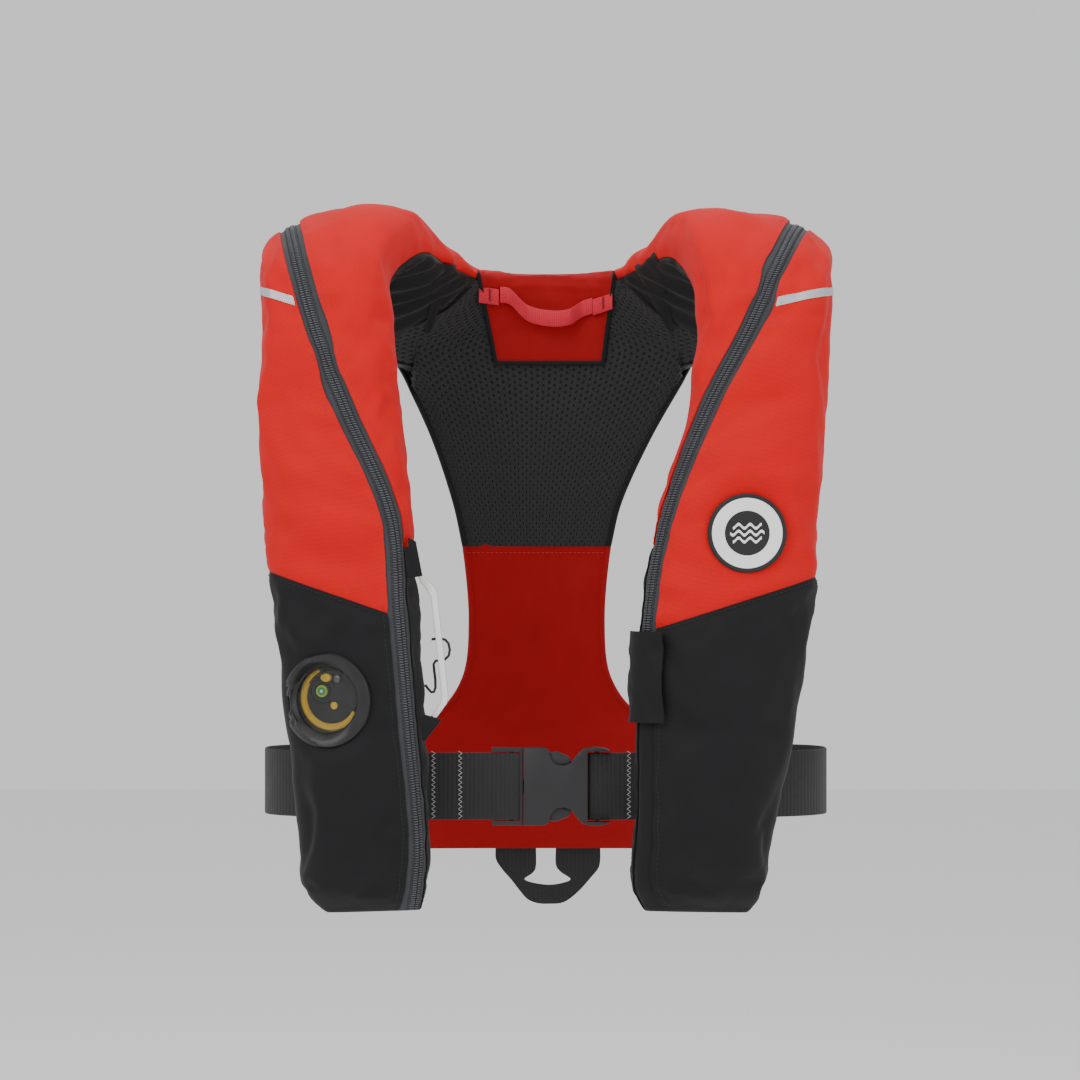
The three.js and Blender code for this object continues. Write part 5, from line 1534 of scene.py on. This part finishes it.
MOULDED = [
    ("buckle_socket_shell", "buckle_socket", ACETAL_GREY, 0.9, "buckle_plastic", "jacket"),
    ("buckle_plug_body", "buckle_plug", ACETAL_GREY, 0.7, "buckle_plastic", "buckle_plug"),
    ("upper_prong", "prong_upper", ACETAL_GREY, 0.7, "buckle_plastic", "prong_upper"),
    ("lower_prong", "prong_lower", ACETAL_GREY, 0.7, "buckle_plastic", "prong_lower"),
    ("right_web_frame", "belt_slider_right", ACETAL_GREY, 0.5, "buckle_plastic", "jacket"),
    ("left_web_frame", "belt_slider_left", ACETAL_GREY, 0.5, "buckle_plastic", "jacket"),
    ("pull_grip", "pull_handle", NYLON_WHITE, 1.3, "handle_plastic", "pull_handle"),
    ("grip_tab_cloth", "handle_tab", OXFORD_BLACK, 0.5, "black_fabric", "right_front"),
    ("grip_pocket_cloth", "handle_pocket", OXFORD_BLACK, 0.5, "black_fabric", "right_front"),
    ("zip_slider_body", "zip_slider", BOLT_STEEL, 0.4, "zip_grey", "zip_slider"),
    ("oral_hose", "oral_tube", NYLON_BLACK, 0.4, "inflator_plastic", "left_front"),
    ("oral_hose_cap", "oral_cap", NYLON_YELLOW, 0.8, "cap_plastic", "oral_cap"),
    ("whistle_body", "whistle", WHISTLE_ORANGE, 0.9, "whistle_plastic", "left_front"),
    ("firing_lever", "inflator_lever", NYLON_BLACK, 0.4, "inflator_plastic",
     "inflator_lever"),
]
for row in MOULDED:
    softened(*row)
print(len(MOULDED), "rounded pieces")

# %% [markdown]
# ### Crotch loop
# Webbing folded to a loop hangs from the back's lower edge, for a strap between the legs. It
# is a flat piece with a rounded outline and a rounded eye.

# %% Crotch loop
LOOP_OUT = [(-39.5, -427), (-39, -436), (-34, -444), (-27, -452), (-20, -461), (-14, -467.5),
            (-6, -470.6), (3, -471), (12, -470.4), (19, -467), (28, -459), (35, -451),
            (41.5, -443), (43, -436), (43, -427)]
LOOP_EYE = [(8, -427), (8, -440), (12, -446), (19.5, -451.4), (14, -454.4), (3, -456),
            (-9, -454.6), (-16.5, -451.6), (-10, -446.5), (-7.5, -441), (-7.5, -427)]
LOOP_Y = (3.2, 5.0)


def rounded_line(corners):
    return through([(*c, 0) for c in corners], np.linspace(0, len(corners) - 1, 90))[:, :2]


edge = np.vstack([rounded_line(LOOP_OUT), rounded_line(LOOP_EYE)])
bm = bmesh.new()
ring = [bm.verts.new((x, LOOP_Y[0], z)) for x, z in edge]
front = bm.faces.new(ring)
moved = bmesh.ops.extrude_face_region(bm, geom=[front])["geom"]
bmesh.ops.translate(bm, verts=[g for g in moved if isinstance(g, bmesh.types.BMVert)],
                    vec=(0, LOOP_Y[1] - LOOP_Y[0], 0))
bmesh.ops.triangulate(bm, faces=[f for f in bm.faces if len(f.verts) > 4])
bm.verts.index_update()
points = np.array([v.co for v in bm.verts])
faces = [[v.index for v in f.verts] for f in bm.faces]
bm.free()
crotch = object_of("crotch_web", points, faces, WEBBING_BLACK, front_weave(points), sharp=40)
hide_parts("crotch_loop")
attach(crotch, "crotch_loop")
print("crotch loop", len(points), "points")

# %% [markdown]
# ## Flap over the zip's end
# A folded flap of the black cloth hides the left zip's slider. It is sewn along its outer
# edge and lifts off when the zip is opened for repacking.

# %% Flap
FLAP_OUT, FLAP_IN = -16.5, 15.0
flap = cover("zip_flap_cloth", ZIP_LEVELS[FLAP_LOW_Z], ZIP_LEVELS[FLAP_HIGH_Z],
             lambda t: zip_angle(t, FLAP_OUT), lambda t: zip_angle(t, FLAP_IN), OXFORD_BLACK,
             ALL_FREE, cell=1.6, stand=7.0, thick=1.2)
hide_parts("garage_flap")
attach(flap, "garage_flap")
print("flap", FLAP_IN - FLAP_OUT, "mm wide")

# %% [markdown]
# ## The studio
# A pale floor well below the jacket and a white surround, as in a packshot tent. A large soft
# light stands in front to the left, a weaker one to the right, and one hangs over the
# shoulders, so that the padding rounds off towards its edges.

# %% Studio
world = bpy.data.worlds.new("studio")
bpy.context.scene.world = world
world.use_nodes = True
surround = world.node_tree.nodes["Background"]
surround.inputs["Color"].default_value = (1.0, 1.0, 1.0, 1.0)
surround.inputs["Strength"].default_value = 0.85
FLOOR_Z, FLOOR_SIZE = -0.75, 12.0
bpy.ops.mesh.primitive_plane_add(size=FLOOR_SIZE, location=(0, 0, FLOOR_Z))
floor = bpy.context.object
floor.name = "studio_floor"
paper, _, _ = start_material("white_paper", Base_Color=linear("#f4f4f4"), Roughness=0.9)
floor.data.materials.append(paper)

LOOK_AT = Vector((0, -0.1, -0.2))
LIGHTS = [("key", (-1.3, -2.0, 1.1), 1.6, 26), ("fill", (1.6, -1.9, 0.3), 1.6, 13),
          ("top", (0.0, -0.3, 1.6), 1.4, 14)]
for name, place, size, power in LIGHTS:
    lamp = bpy.data.lights.new(name, "AREA")
    lamp.size, lamp.energy = size, power
    stand = bpy.data.objects.new(name, lamp)
    stand.location = place
    towards = LOOK_AT - Vector(place)
    stand.rotation_euler = towards.to_track_quat("-Z", "Y").to_euler()
    bpy.context.scene.collection.objects.link(stand)
print("studio with", len(LIGHTS), "lights")
